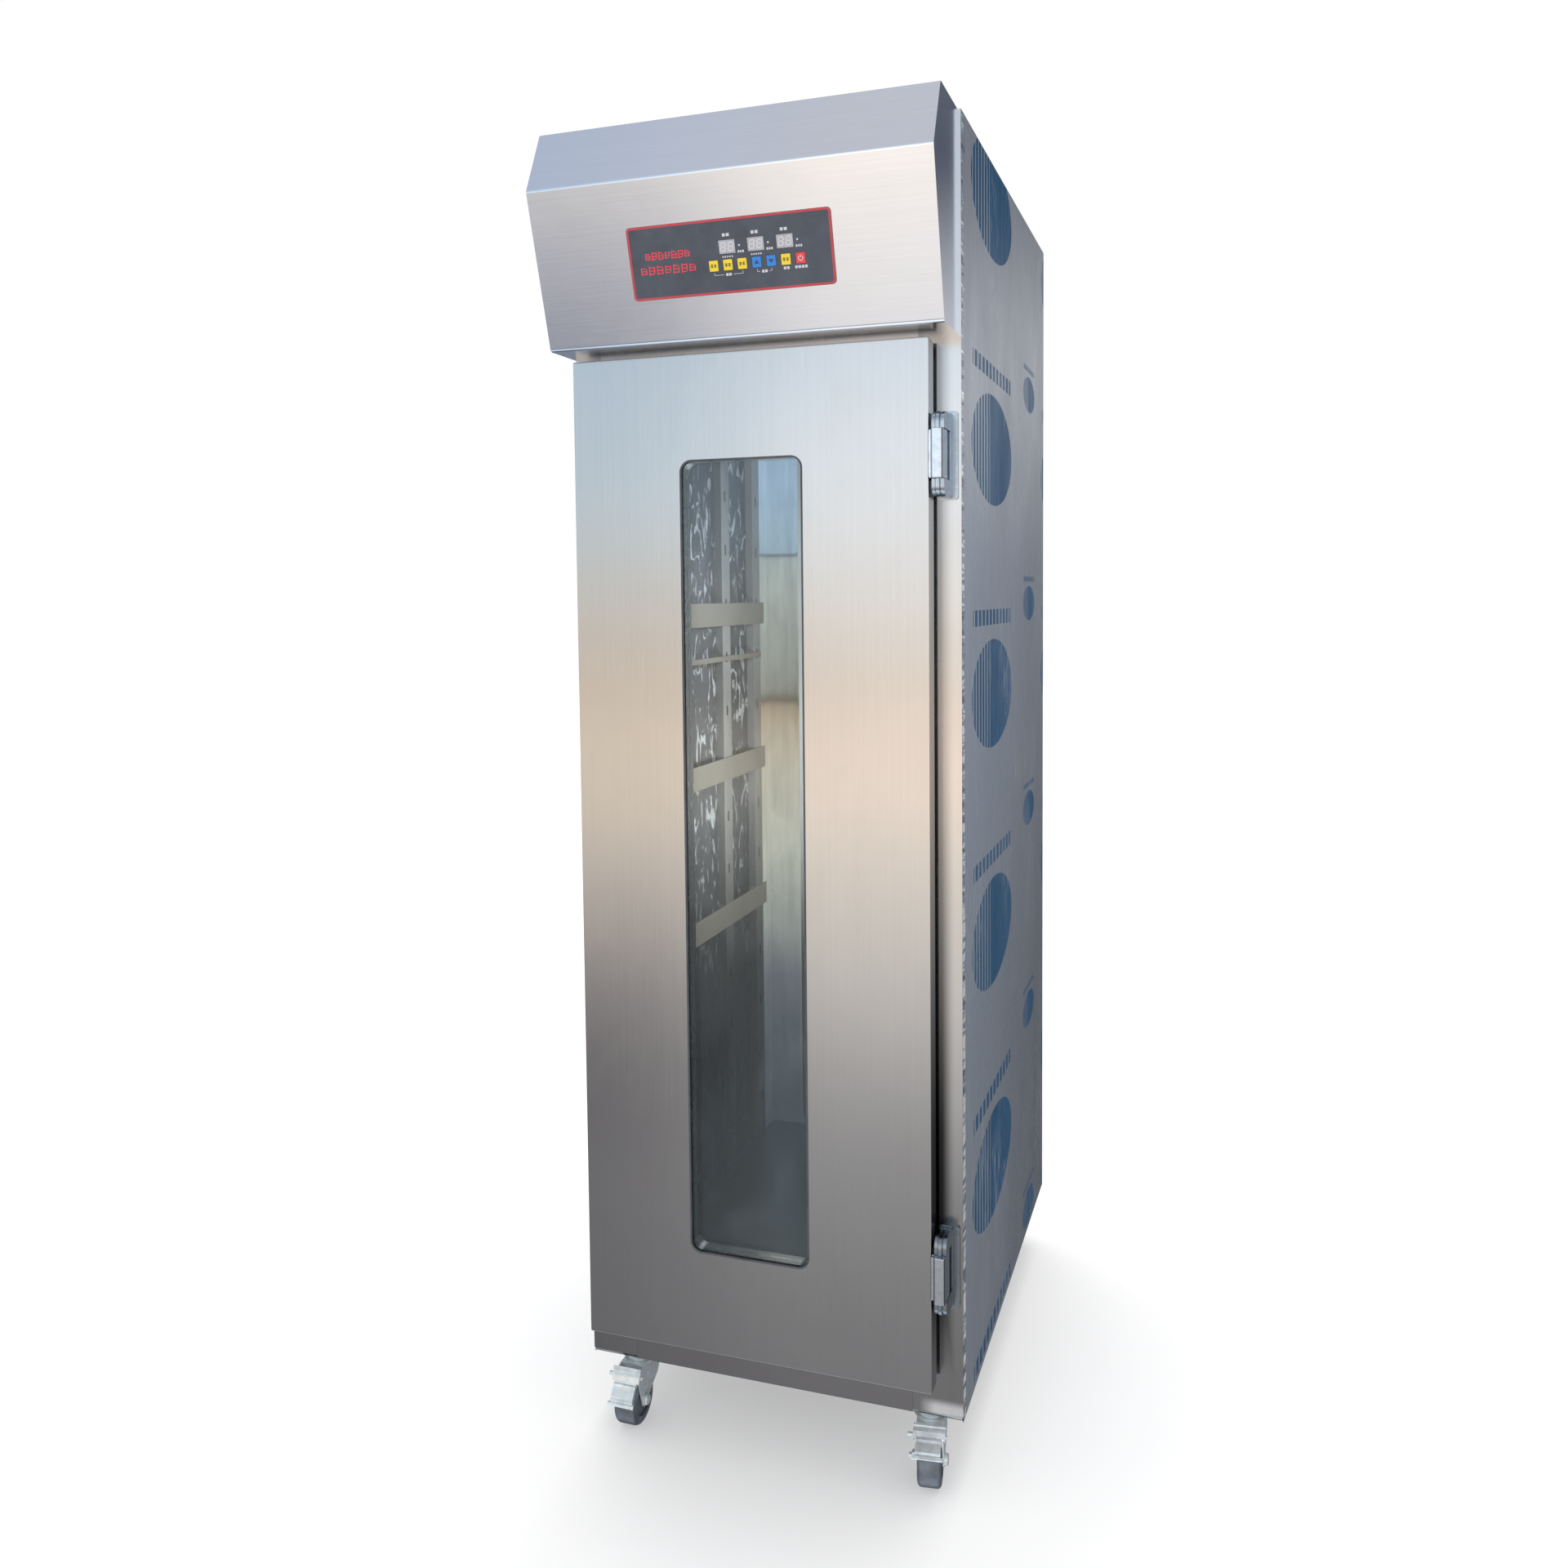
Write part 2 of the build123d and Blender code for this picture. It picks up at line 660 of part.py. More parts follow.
def fin_outline(z, side, fin_front, shrink):
    """Side view of one hinge fin, running from the knuckle's end at z towards side, rounded at its end."""
    near = z + side * (knuckle_height / 2 + hinge_relief)
    far = near + side * (fin_length - shrink)
    arm_back = front - hinge_base
    bend = fin_bend - shrink
    with BuildSketch() as side_view:
        with BuildLine():
            Line((arm_back, near), (fin_front, near))
            Line((fin_front, near), (fin_front, far - side * bend))
            RadiusArc((fin_front, far - side * bend), (fin_front + bend, far), side * bend)
            Line((fin_front + bend, far), (arm_back, far))
            Line((arm_back, far), (arm_back, near))
        make_face()
    return side_view.sketch


with BuildPart() as hinge_frame_leaves:
    for z in hinge_heights:
        with BuildSketch(Plane.XZ.offset(-front)):
            with Locations((hinge_x + 4.5, z)):
                RectangleRounded(25, 2 * base_half_height, base_corner)
        extrude(amount=hinge_flange)
        with BuildSketch(Plane.XZ.offset(-front)):
            with Locations((hinge_x + 1, z)):
                RectangleRounded(18, 2 * base_half_height - 3, base_corner)
        extrude(amount=hinge_base)
        for side in (-1, 1):
            core = Plane.YZ.offset(hinge_x - fin_pitch) * fin_outline(z, side, hinge_y - 5, 1.5)
            extrude(core, amount=2 * fin_pitch, dir=(1, 0, 0))
            for i in (-1, 0, 1):
                fin_front = hinge_y - (9.6 if i == 0 else 6.6)
                fin = Plane.YZ.offset(hinge_x + i * fin_pitch) * fin_outline(z, side, fin_front, 0)
                extrude(fin, amount=fin_thickness / 2, both=True)
        with Locations((hinge_x, hinge_y, z)):
            Cylinder(radius=hinge_pin_r, height=2 * pin_half, mode=Mode.SUBTRACT)
write(hinge_frame_leaves, "hinge_frame_leaves")

with BuildPart() as hinge_pins:
    for z in hinge_heights:
        with Locations((hinge_x, hinge_y, z)):
            Cylinder(radius=hinge_pin_r, height=2 * pin_half)
write(hinge_pins, "hinge_pins")

leaf_sheet = 2.5
with BuildPart() as hinge_door_leaves:
    for z in hinge_heights:
        with BuildPart(Plane.XY, mode=Mode.PRIVATE) as knuckle:
            block(hinge_x - knuckle_width / 2, hinge_x + knuckle_width / 2, hinge_y - knuckle_depth / 2,
                  hinge_y + knuckle_depth / 2, z - knuckle_height / 2, z + knuckle_height / 2)
            fillet(knuckle.edges().filter_by(Axis.Z), radius=2.5)
            fillet(knuckle.faces().sort_by(Axis.Z)[-1].edges(), radius=1)
            fillet(knuckle.faces().sort_by(Axis.Z)[0].edges(), radius=1)
        add(knuckle.part)
        block(door_right, door_right + leaf_sheet, door_front + 3, door_back - 3,
              z - knuckle_height / 2 + 1, z + knuckle_height / 2 - 1)
        block(door_right, hinge_x - knuckle_width / 2 + 3, hinge_y - 9, hinge_y + 9,
              z - knuckle_height / 2 + 2, z + knuckle_height / 2 - 2)
        with Locations((hinge_x, hinge_y, z)):
            Cylinder(radius=hinge_pin_r + running, height=2 * knuckle_height, mode=Mode.SUBTRACT)
write(hinge_door_leaves, "hinge_door_leaves")

# ---------------------------------------------------------------- casters
plate_sheet = 3
race_r = 22
king_r = 6
crown_sheet = 2.6
king_head = 4
with BuildPart() as caster_plates:
    for px, py in caster_places:
        with BuildSketch(Plane.XY.offset(floor_gap - plate_sheet)):
            with Locations((px, py)):
                RectangleRounded(54, 54, 5)
        extrude(amount=plate_sheet)
        with BuildSketch(Plane.XY.offset(crown_top + 0.4)):
            with Locations((px, py)):
                Circle(race_r)
        extrude(amount=floor_gap - plate_sheet - crown_top - 0.4)
        with BuildSketch(Plane.XY.offset(crown_top - crown_sheet - 0.4)):
            with Locations((px, py)):
                Circle(king_r)
        extrude(amount=crown_sheet + 0.8)
        with BuildSketch(Plane.XY.offset(crown_top - crown_sheet - 0.4 - king_head)):
            with Locations((px, py)):
                Circle(10)
        extrude(amount=king_head)
write(caster_plates, "caster_plates")


def turned(piece, name, place, turn):
    """Swivel a finished caster piece about its kingpin, label it and write its STEP file."""
    moved = piece.part.rotate(Axis((*place, 0), (0, 0, 1)), turn)
    moved.label = name
    export_step(moved, os.path.join(parts_folder, f"{name}.step"))


def arm_outline(py):
    """Side view of a fork arm: deep at the crown, with ears round the axle and the pedal's pivot."""
    axle_y = py - trail
    ear_y, ear_z = py + pedal_pivot[0], pedal_pivot[1]
    with BuildSketch() as side_view:
        with BuildLine():
            Polyline((axle_y + 9, wheel_r), (py + 12, 49), (py + 21, 62), (py + 23, crown_top - 8),
                     (py + 21, crown_top), (py - 30, crown_top), (ear_y, ear_z + ear_r))
            ThreePointArc((ear_y, ear_z + ear_r), (ear_y - ear_r, ear_z),
                          (ear_y - 0.8 * ear_r, ear_z - 0.6 * ear_r))
            Line((ear_y - 0.8 * ear_r, ear_z - 0.6 * ear_r), (axle_y - 9, wheel_r))
            ThreePointArc((axle_y - 9, wheel_r), (axle_y, wheel_r - 9), (axle_y + 9, wheel_r))
        make_face()
    return side_view.sketch


def caster_fork(name, px, py, braked, turn):
    """Stamped swivel fork: a round crown with a front skirt, and two arms."""
    with BuildPart() as fork:
        with BuildSketch(Plane.XY.offset(crown_top - crown_sheet)):
            with Locations((px, py)):
                Circle(race_r + 1)
            with Locations((px, py - 12)):
                Rectangle(2 * arm_outer, 34)
        extrude(amount=crown_sheet)
        block(px - arm_outer, px + arm_outer, py - 29, py - 27, 68.5, crown_top)
        for side in (-1, 1):
            arm = Plane.YZ.offset(px + side * arm_outer) * arm_outline(py)
            extrude(arm, amount=arm_outer - arm_inner, dir=(-side, 0, 0))
        with Locations((px, py, crown_top)):
            Cylinder(radius=king_r + running, height=20, mode=Mode.SUBTRACT)
        with Locations(Location((px, py - trail, wheel_r), (0, 90, 0))):
            Cylinder(radius=axle_r, height=60, mode=Mode.SUBTRACT)
        if braked:
            with Locations(Location((px, py + pedal_pivot[0], pedal_pivot[1]), (0, 90, 0))):
                Cylinder(radius=2.5 + running, height=60, mode=Mode.SUBTRACT)
    turned(fork, name, (px, py), turn)


def caster_wheel(name, px, py, turn):
    """Crowned tyre on a dished hub."""
    with BuildPart() as wheel:
        with BuildSketch(Plane(origin=(px, py - trail, wheel_r), x_dir=(0, 1, 0), z_dir=(1, 0, 0))):
            Circle(wheel_r)
        extrude(amount=wheel_half_width, both=True)
        fillet(wheel.edges(), radius=5)
        for side in (-1, 1):
            dish = Plane(origin=(px + side * wheel_half_width, py - trail, wheel_r), x_dir=(0, 1, 0),
                         z_dir=(side, 0, 0))
            with BuildSketch(dish):
                Circle(21)
                Circle(9, mode=Mode.SUBTRACT)
            extrude(amount=-3, mode=Mode.SUBTRACT)
        with Locations(Location((px, py - trail, wheel_r), (0, 90, 0))):
            Cylinder(radius=axle_r + running, height=60, mode=Mode.SUBTRACT)
    turned(wheel, name, (px, py), turn)


def caster_axle(name, px, py, turn):
    """Axle bolt with a domed head on the right and a nut on the left, past which the thread runs on."""
    with BuildPart() as axle:
        shaft = Plane(origin=(px - arm_outer, py - trail, wheel_r), x_dir=(0, 1, 0), z_dir=(1, 0, 0))
        with BuildSketch(shaft):
            Circle(axle_r)
        extrude(amount=2 * arm_outer)
        with BuildSketch(shaft.offset(2 * arm_outer)):
            Circle(7)
        extrude(amount=5)
        fillet(axle.faces().sort_by(Axis.X)[-1].edges(), radius=2.5)
        with BuildSketch(shaft):
            RegularPolygon(7, 6)
        extrude(amount=-5.5)
        with BuildSketch(shaft):
            Circle(axle_r - 0.5)
        extrude(amount=-9.5)
    turned(axle, name, (px, py), turn)


def brake_pedal(name, px, py, slope, turn):
    """Stamped brake pedal: a stepped tread with flared ends, a shoe under it and two pivot wings."""
    pivot_y, pivot_z = py + pedal_pivot[0], pedal_pivot[1]
    wing_in, wing_out = arm_outer + 0.4, arm_outer + 2.4
    tread_half, lip_half = 15.6, 18.6
    a = radians(slope)
    ahead = (-cos(a), -sin(a))
    above = (-sin(a), cos(a))

    def at(along, up):
        """A point given along the tread from the pivot, and up from it."""
        return (pivot_y + along * ahead[0] + up * above[0], pivot_z + along * ahead[1] + up * above[1])

    with BuildPart() as pedal:
        with BuildSketch(Plane.YZ.offset(px - wing_out)):
            with BuildLine():
                Polyline(at(-9, 9.4), at(-6, 9.4), at(-4.6, 8.2), at(1.6, 8.2), at(8, 5), at(8, 3),
                         at(1, 6.2), at(-5, 6.2), at(-6.6, 7.4), at(-9, 7.4), close=True)
            make_face()
        extrude(amount=2 * wing_out)
        with BuildSketch(Plane.YZ.offset(px - tread_half)):
            with BuildLine():
                Polyline(at(7.4, 5.3), at(10, 5), at(12, 6.4), at(15, 5.2), at(29, 5), at(31, 3.4),
                         at(33, 3.4), at(33, 1.4), at(30, 1.4), at(28, 3), at(13, 3), at(12, -1.6),
                         at(8.4, -1.6), at(7.4, 3.3), close=True)
            make_face()
        extrude(amount=2 * tread_half)
        with BuildSketch(Plane.YZ.offset(px - lip_half)):
            with BuildLine():
                Polyline(at(32.5, 3.4), at(34.5, 5), at(38, 4.4), at(37.6, 2.4), at(35.2, 3), at(32.5, 1.4),
                         close=True)
            make_face()
        extrude(amount=2 * lip_half)
        for side in (-1, 1):
            with BuildSketch(Plane.YZ.offset(px + side * wing_out)):
                with BuildLine():
                    Polyline(at(-5.5, 0), at(-6, 7), at(1.2, 7), at(7.6, 4), at(5, -2.4), close=True)
                make_face()
                with Locations((pivot_y, pivot_z)):
                    Circle(5.6)
            extrude(amount=-side * (wing_out - wing_in))
            pin_out = wing_out + (2 if side > 0 else 7)
            with BuildSketch(Plane.YZ.offset(px + side * pin_out)):
                with Locations((pivot_y, pivot_z)):
                    Circle(2.5)
            extrude(amount=-side * (pin_out - arm_inner - 0.2))
    turned(pedal, name, (px, py), turn)


for caster_name, (px, py) in zip(caster_x, caster_places):
    in_front = caster_name.startswith("front")
    turn = caster_turn[caster_name]
    caster_fork(f"fork_{caster_name}", px, py, in_front, turn)
    caster_wheel(f"wheel_{caster_name}", px, py, turn)
    caster_axle(f"axle_{caster_name}", px, py, turn)

brake_pedal("brake_pedal_left", *caster_places[0], pedal_pressed, caster_turn["front_left"])
brake_pedal("brake_pedal_right", *caster_places[1], pedal_released, caster_turn["front_right"])
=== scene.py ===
"""Looks for the proofing cabinet: camera, light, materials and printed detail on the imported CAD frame."""
import math

import bmesh
import bpy
from mathutils import Matrix, Vector


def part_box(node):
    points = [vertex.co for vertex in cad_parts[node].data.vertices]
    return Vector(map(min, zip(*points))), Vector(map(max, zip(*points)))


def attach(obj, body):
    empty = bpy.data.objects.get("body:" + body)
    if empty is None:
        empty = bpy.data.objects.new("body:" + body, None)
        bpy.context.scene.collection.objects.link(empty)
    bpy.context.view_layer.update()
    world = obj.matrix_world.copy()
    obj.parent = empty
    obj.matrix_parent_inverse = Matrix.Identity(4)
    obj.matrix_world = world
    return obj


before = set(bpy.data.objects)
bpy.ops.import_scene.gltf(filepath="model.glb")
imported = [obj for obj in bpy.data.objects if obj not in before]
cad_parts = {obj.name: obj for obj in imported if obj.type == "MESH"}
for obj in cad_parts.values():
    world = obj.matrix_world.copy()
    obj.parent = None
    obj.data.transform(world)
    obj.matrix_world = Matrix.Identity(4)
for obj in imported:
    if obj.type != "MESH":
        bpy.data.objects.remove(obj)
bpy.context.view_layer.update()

MM = 0.001

# ---------------------------------------------------------------- camera
CAMERA_PLACE = (0.5561, -1.8312, 1.0991)
CAMERA_YAW, CAMERA_PITCH, CAMERA_ROLL = (math.radians(a) for a in (18.93, -3.32, -0.566))
CAMERA_LENS = 30.32
CAMERA_SENSOR = 36
CAMERA_SHIFT_UP = -0.0709


def add_camera():
    """The camera, turned by yaw, pitch and roll from the view along +Y."""
    ahead = Vector((-math.sin(CAMERA_YAW) * math.cos(CAMERA_PITCH),
                    math.cos(CAMERA_YAW) * math.cos(CAMERA_PITCH), math.sin(CAMERA_PITCH)))
    right = Vector((math.cos(CAMERA_YAW), math.sin(CAMERA_YAW), 0))
    up = right.cross(ahead)
    rolled_right = right * math.cos(CAMERA_ROLL) + up * math.sin(CAMERA_ROLL)
    rolled_up = up * math.cos(CAMERA_ROLL) - right * math.sin(CAMERA_ROLL)
    data = bpy.data.cameras.new("camera")
    data.lens = CAMERA_LENS
    data.sensor_width = CAMERA_SENSOR
    data.shift_y = CAMERA_SHIFT_UP
    camera = bpy.data.objects.new("camera", data)
    turn = Matrix((rolled_right, rolled_up, -ahead)).transposed()
    camera.matrix_world = Matrix.Translation(CAMERA_PLACE) @ turn.to_4x4()
    bpy.context.collection.objects.link(camera)
    bpy.context.scene.camera = camera


add_camera()


# ---------------------------------------------------------------- node graphs
class Graph:
    """A short way to build one material's or world's nodes."""

    def __init__(self, tree):
        self.tree = tree
        tree.nodes.clear()

    def node(self, kind, inputs=None, **settings):
        """Add a node; inputs maps a socket's name or index to a value or to another socket."""
        made = self.tree.nodes.new(kind)
        for key, value in settings.items():
            setattr(made, key, value)
        for key, value in (inputs or {}).items():
            if isinstance(value, bpy.types.NodeSocket):
                self.tree.links.new(value, made.inputs[key])
            else:
                made.inputs[key].default_value = value
        return made

    def math(self, operation, a, b=0.0):
        return self.node("ShaderNodeMath", {0: a, 1: b}, operation=operation).outputs[0]

    def object_point(self, scale=(1, 1, 1), turn=(0, 0, 0), offset=(0, 0, 0)):
        """The point on the piece, in the row frame at rest, scaled to a texture's size."""
        where = self.node("ShaderNodeTexCoord").outputs["Object"]
        made = self.node("ShaderNodeMapping", {"Vector": where, "Scale": scale, "Rotation": turn,
                                               "Location": offset})
        return made.outputs[0]

    def axis(self, letter):
        """One coordinate of the point on the piece, x, y or z, in metres."""
        return self.node("ShaderNodeSeparateXYZ", {0: self.object_point()}).outputs["xyz".index(letter)]

    def noise(self, vector, detail, roughness, distortion=0.0):
        """Noise whose size comes from the scale of its vector."""
        made = self.node("ShaderNodeTexNoise", {"Vector": vector, "Scale": 1.0, "Detail": detail,
                                                "Roughness": roughness, "Distortion": distortion})
        return made.outputs[0]

    def ramp(self, factor, stops):
        """A colour ramp; stops are (position, colour)."""
        made = self.node("ShaderNodeValToRGB", {0: factor})
        elements = made.color_ramp.elements
        while len(elements) < len(stops):
            elements.new(0.5)
        for element, (position, colour) in zip(elements, stops):
            element.position = position
            element.color = (*colour, 1)
        return made.outputs[0]

    def span(self, value, low, high, to_low=0.0, to_high=1.0, smooth=False):
        """Map low..high to to_low..to_high, clamped."""
        made = self.node("ShaderNodeMapRange", {0: value, 1: low, 2: high, 3: to_low, 4: to_high})
        made.interpolation_type = "SMOOTHSTEP" if smooth else "LINEAR"
        return made.outputs[0]

    def mix(self, factor, a, b):
        """From colour a to colour b as factor goes from 0 to 1."""
        made = self.node("ShaderNodeMix", data_type="RGBA")
        for socket, value in (("Factor_Float", factor), ("A_Color", a), ("B_Color", b)):
            target = next(s for s in made.inputs if s.identifier == socket)
            if isinstance(value, bpy.types.NodeSocket):
                self.tree.links.new(value, target)
            elif socket == "Factor_Float":
                target.default_value = value
            else:
                target.default_value = (*value, 1)
        return next(s for s in made.outputs if s.identifier == "Result_Color")

    def scaled(self, colour, factor):
        """A colour times a factor, which may be one socket or three numbers."""
        return self.node("ShaderNodeVectorMath", {0: colour, 1: factor}, operation="MULTIPLY").outputs[0]

    def bump(self, height, depth, strength=1.0, below=None):
        """A normal bumped by height, depth metres deep, on top of the normal below."""
        inputs = {"Height": height, "Distance": depth, "Strength": strength}
        if below is not None:
            inputs["Normal"] = below
        return self.node("ShaderNodeBump", inputs).outputs[0]

    def surface(self, **inputs):
        """A Principled surface wired to the output; colours may be three numbers."""
        values = {}
        for key, value in inputs.items():
            if isinstance(value, tuple) and len(value) == 3:
                value = (*value, 1)
            values[key.replace("_", " ")] = value
        shader = self.node("ShaderNodeBsdfPrincipled", values)
        self.node("ShaderNodeOutputMaterial", {"Surface": shader.outputs[0]})


def new_material(name):
    """An empty material and its graph."""
    made = bpy.data.materials.new(name)
    made.use_nodes = True
    return made, Graph(made.node_tree)


def times(colour, factor):
    """A plain colour, brighter or darker by one factor."""
    return tuple(channel * factor for channel in colour)


def tinted(colour, tint):
    """A plain colour with each channel scaled by the tint's."""
    return tuple(channel * share for channel, share in zip(colour, tint))


# ---------------------------------------------------------------- steel sheet
# Where the stiles' painted shade beside the door's gap and the painted highlight on the right foot's
# rolled hem change: heights above the floor, and HEM_OUTWARD across from the cabinet's middle, in metres.
# A tone or gain is a share of the sheet's own tone.
GAP_SHADE_HEIGHTS = (0.45, 0.95)
GAP_SHADE_TONES = (0.10, 0.60)
FOOT_HEIGHTS = (0.145, 0.25)
HEM_BOTTOM = (0.093, 0.098)
HEM_TOP = (0.116, 0.104)
HEM_OUTWARD = (0.195, 0.215)
HEM_HIGHLIGHT_GAIN = 2.4
# The stretch across a sheet, in metres, over which the painted bluish reflection on its left part fades
# out.
LEFT_REFLECTION_SPAN = (-0.24, 0.12)


def stile_painted_shade_and_highlight(g, tone, gap_shade):
    """Paint shade on a stile by the door's gap above its foot, and a highlight on the right foot's hem."""
    height, across = g.axis("z"), g.axis("x")
    at_gap = g.span(height, *GAP_SHADE_HEIGHTS, *GAP_SHADE_TONES)
    clear = g.span(g.math("ABSOLUTE", across), *gap_shade, smooth=True)
    clear = g.math("MAXIMUM", clear, g.span(height, *FOOT_HEIGHTS, 1.0, 0.0))
    clear = g.math("MULTIPLY", clear, g.math("SUBTRACT", 1.0, at_gap))
    tone = g.math("MULTIPLY", tone, g.math("ADD", at_gap, clear))
    # Painted highlight along the right foot's rolled hem.
    hem = g.span(height, *HEM_TOP, 0.0, HEM_HIGHLIGHT_GAIN, smooth=True)
    hem = g.math("MULTIPLY", hem, g.span(height, *HEM_BOTTOM))
    hem = g.math("MULTIPLY", hem, g.span(across, *HEM_OUTWARD))
    return g.math("MULTIPLY", tone, g.math("ADD", 1.0, hem))


def brushed_steel(name, colour, roughness, grain="z", smears=0.05, tint=(1, 1, 1), low_shade=1.0,
                  fade=(0.55, 1.0), gap_shade=None, left_reflection_tint=None):
    """Satin stainless sheet: hairlines along one axis, cloudy handling marks and a faint waviness.

    low_shade is the tone of a painted shade below the heights in fade, and 1 is the tone above them.
    gap_shade is the pair of distances from the middle over which a stile leaves the painted shade of
    the door's gap; it also brings a painted highlight on the right foot's rolled hem. left_reflection_tint
    colours the sheet's left part with a painted bluish reflection.
    """
    made, g = new_material(name)
    fine, along = 2600, 14
    stretch = {"z": (fine, fine, along), "x": (along, fine, fine), "y": (fine, along, fine)}[grain]
    hair = g.noise(g.object_point(stretch), 3, 0.6)
    hairs_in_band = 8
    wide = tuple(value / hairs_in_band for value in stretch)
    band = g.noise(g.object_point(wide, offset=(3.1, 0.7, 5.3)), 2, 0.5)
    cloud = g.noise(g.object_point((3.2, 3.2, 2.4)), 4, 0.6, 0.4)
    wipe = g.noise(g.object_point((14, 14, 9), (0.3, 0.2, 0.7)), 5, 0.65, 1.2)
    tone = g.math("ADD", g.span(hair, 0.3, 0.7, -0.022, 0.022), g.span(band, 0.3, 0.7, -0.012, 0.012))
    tone = g.math("ADD", tone, g.span(cloud, 0.3, 0.7, -smears * 0.5, smears * 0.5))
    tone = g.math("ADD", tone, 1.0)
    # Painted shade: the sheet darkens towards the foot.
    if low_shade < 1:
        tone = g.math("MULTIPLY", tone, g.span(g.axis("z"), *fade, low_shade, 1.0, smooth=True))
    # Painted shade beside the door's gap, and a painted highlight on the right foot's rolled hem.
    if gap_shade is not None:
        tone = stile_painted_shade_and_highlight(g, tone, gap_shade)
    base = g.mix(g.span(wipe, 0.45, 0.75, 0, 0.25), colour, tinted(colour, tint))
    # Painted reflection: the left part is tinted bluish.
    if left_reflection_tint is not None:
        base = g.mix(g.span(g.axis("x"), *LEFT_REFLECTION_SPAN, 1, 0), base, tinted(colour, left_reflection_tint))
    rough = g.math("ADD", g.span(hair, 0.25, 0.75, roughness - 0.02, roughness + 0.02),
                   g.span(wipe, 0.5, 0.8, 0, smears * 0.5))
    normal = g.bump(hair, 0.00002, 0.3, g.bump(band, 0.00002, 0.2))
    normal = g.bump(cloud, 0.003, 0.12, normal)
    g.surface(Base_Color=g.scaled(base, tone), Metallic=1.0, Roughness=rough, Normal=normal)
    return made


# ---------------------------------------------------------------- chamber
# The chamber's rear left strip glows with a painted reflection. In metres: its place, and the heights
# that its tones run between.
STRIP_FRONT_Y = 0.285
STRIP_RIGHT_X = -0.148
STRIP_HEIGHTS = (0.2, 1.4)
# The strip's painted reflection tones, each with its share of those heights from the lower one up.
STRIP_TONES = [
    (0.0, (0.03, 0.038, 0.046)), (0.066, (0.040, 0.050, 0.058)), (0.186, (0.105, 0.105, 0.115)),
    (0.30, (0.33, 0.31, 0.26)), (0.378, (0.485, 0.44, 0.35)), (0.50, (0.50, 0.42, 0.31)),
    (0.573, (0.475, 0.34, 0.22)), (0.588, (0.40, 0.28, 0.18)), (0.598, (0.16, 0.12, 0.085)),
    (0.6125, (0.28, 0.26, 0.21)), (0.75, (0.39, 0.38, 0.33)), (0.804, (0.36, 0.37, 0.34)),
    (0.808, (0.09, 0.10, 0.11)), (0.8125, (0.30, 0.37, 0.42)), (0.905, (0.34, 0.43, 0.54)),
    (1.0, (0.26, 0.34, 0.44)),
]
# The heights over which the chamber's painted low shadow fades out.
SHADOW_HEIGHTS = (0.48, 0.74)
# The tray rack's bars, in a warm painted reflection: the height of each one's middle, and half its
# own height.
WIDE_BAR, NARROW_BAR = 0.0182, 0.0042
RACK_BARS = [(0.589, WIDE_BAR), (0.825, WIDE_BAR), (1.071, WIDE_BAR), (1.001, NARROW_BAR)]


def strip_glow(g, height):
    """The rear left strip's painted reflection, given off as a glow, and a mask that is 1 on the strip."""
    streak = g.noise(g.object_point((70, 70, 4)), 3, 0.6, 0.6)
    blotch = g.noise(g.object_point((16, 16, 9)), 4, 0.6, 1.0)
    tone = g.math("ADD", g.span(streak, 0.3, 0.7, 0.86, 1.12), g.span(blotch, 0.3, 0.7, -0.14, 0.10))
    on_strip = g.math("MULTIPLY", g.math("GREATER_THAN", g.axis("y"), STRIP_FRONT_Y),
                      g.math("LESS_THAN", g.axis("x"), STRIP_RIGHT_X))
    glow = g.scaled(g.ramp(g.span(height, *STRIP_HEIGHTS), STRIP_TONES), g.math("MULTIPLY", on_strip, tone))
    return glow, on_strip


def chamber_steel(name, colour, bars=(), crinkle=0.0, strip=False):
    """Dull inner sheet under crinkled clear film, with painted shadow low down, painted highlights on its
    creases, and cross bars in a painted warm reflection or the rear left strip's painted reflection glow.
    """
    made, g = new_material(name)
    height = g.axis("z")
    hair = g.noise(g.object_point((1800, 1800, 12)), 3, 0.6)
    cloud = g.noise(g.object_point((9, 9, 5)), 4, 0.6, 0.7)
    crease = g.noise(g.object_point((34, 34, 17), (0.8, 0.3, 0)), 4, 0.6, 2.2)
    base = g.mix(g.span(cloud, 0.35, 0.65), colour, times(colour, 0.72))
    base = g.mix(g.span(hair, 0.3, 0.7, 0, 0.16), base, times(colour, 1.3))
    # Painted highlight on the crinkled film's creases.
    crease_highlight = (0.55, 0.545, 0.55)
    base = g.mix(g.span(crease, 0.55, 0.62, 0, crinkle), base, crease_highlight)
    # Painted shadow: the chamber goes almost black below these heights.
    base = g.mix(g.span(height, *SHADOW_HEIGHTS, 0.94, 0), base, times(colour, 0.04))
    glow = (0.0, 0.0, 0.0)
    if strip:
        glow, on_strip = strip_glow(g, height)
        # Near black under the strip's painted glow.
        base = g.mix(on_strip, base, (0.03, 0.03, 0.03))
    for middle, half in bars:
        distance = g.math("ABSOLUTE", g.math("SUBTRACT", height, middle))
        # Painted warm reflection on the bars.
        bar_reflection_colour = g.mix(g.span(hair, 0.3, 0.7), (0.17, 0.145, 0.125), (0.22, 0.19, 0.16))
        base = g.mix(g.math("LESS_THAN", distance, half), base, bar_reflection_colour)
    normal = g.bump(crease, 0.002, 0.10 + 0.25 * crinkle, g.bump(hair, 0.00003, 0.4))
    g.surface(Base_Color=base, Metallic=0.45, Roughness=g.span(cloud, 0.3, 0.7, 0.30, 0.46), Normal=normal,
              Emission_Color=glow, Emission_Strength=1.0)
    return made


# ---------------------------------------------------------------- fittings, plastics and rubber
# How far a face turns sideways, from 0 to 1, where a rim's painted shade comes in and where it eases
# again.
RIM_STARTS = (0.36, 0.60)
RIM_EASES = (0.80, 0.98)
# The heights over which a casting's painted low shade fades out.
CASTING_FADE = (0.30, 0.85)


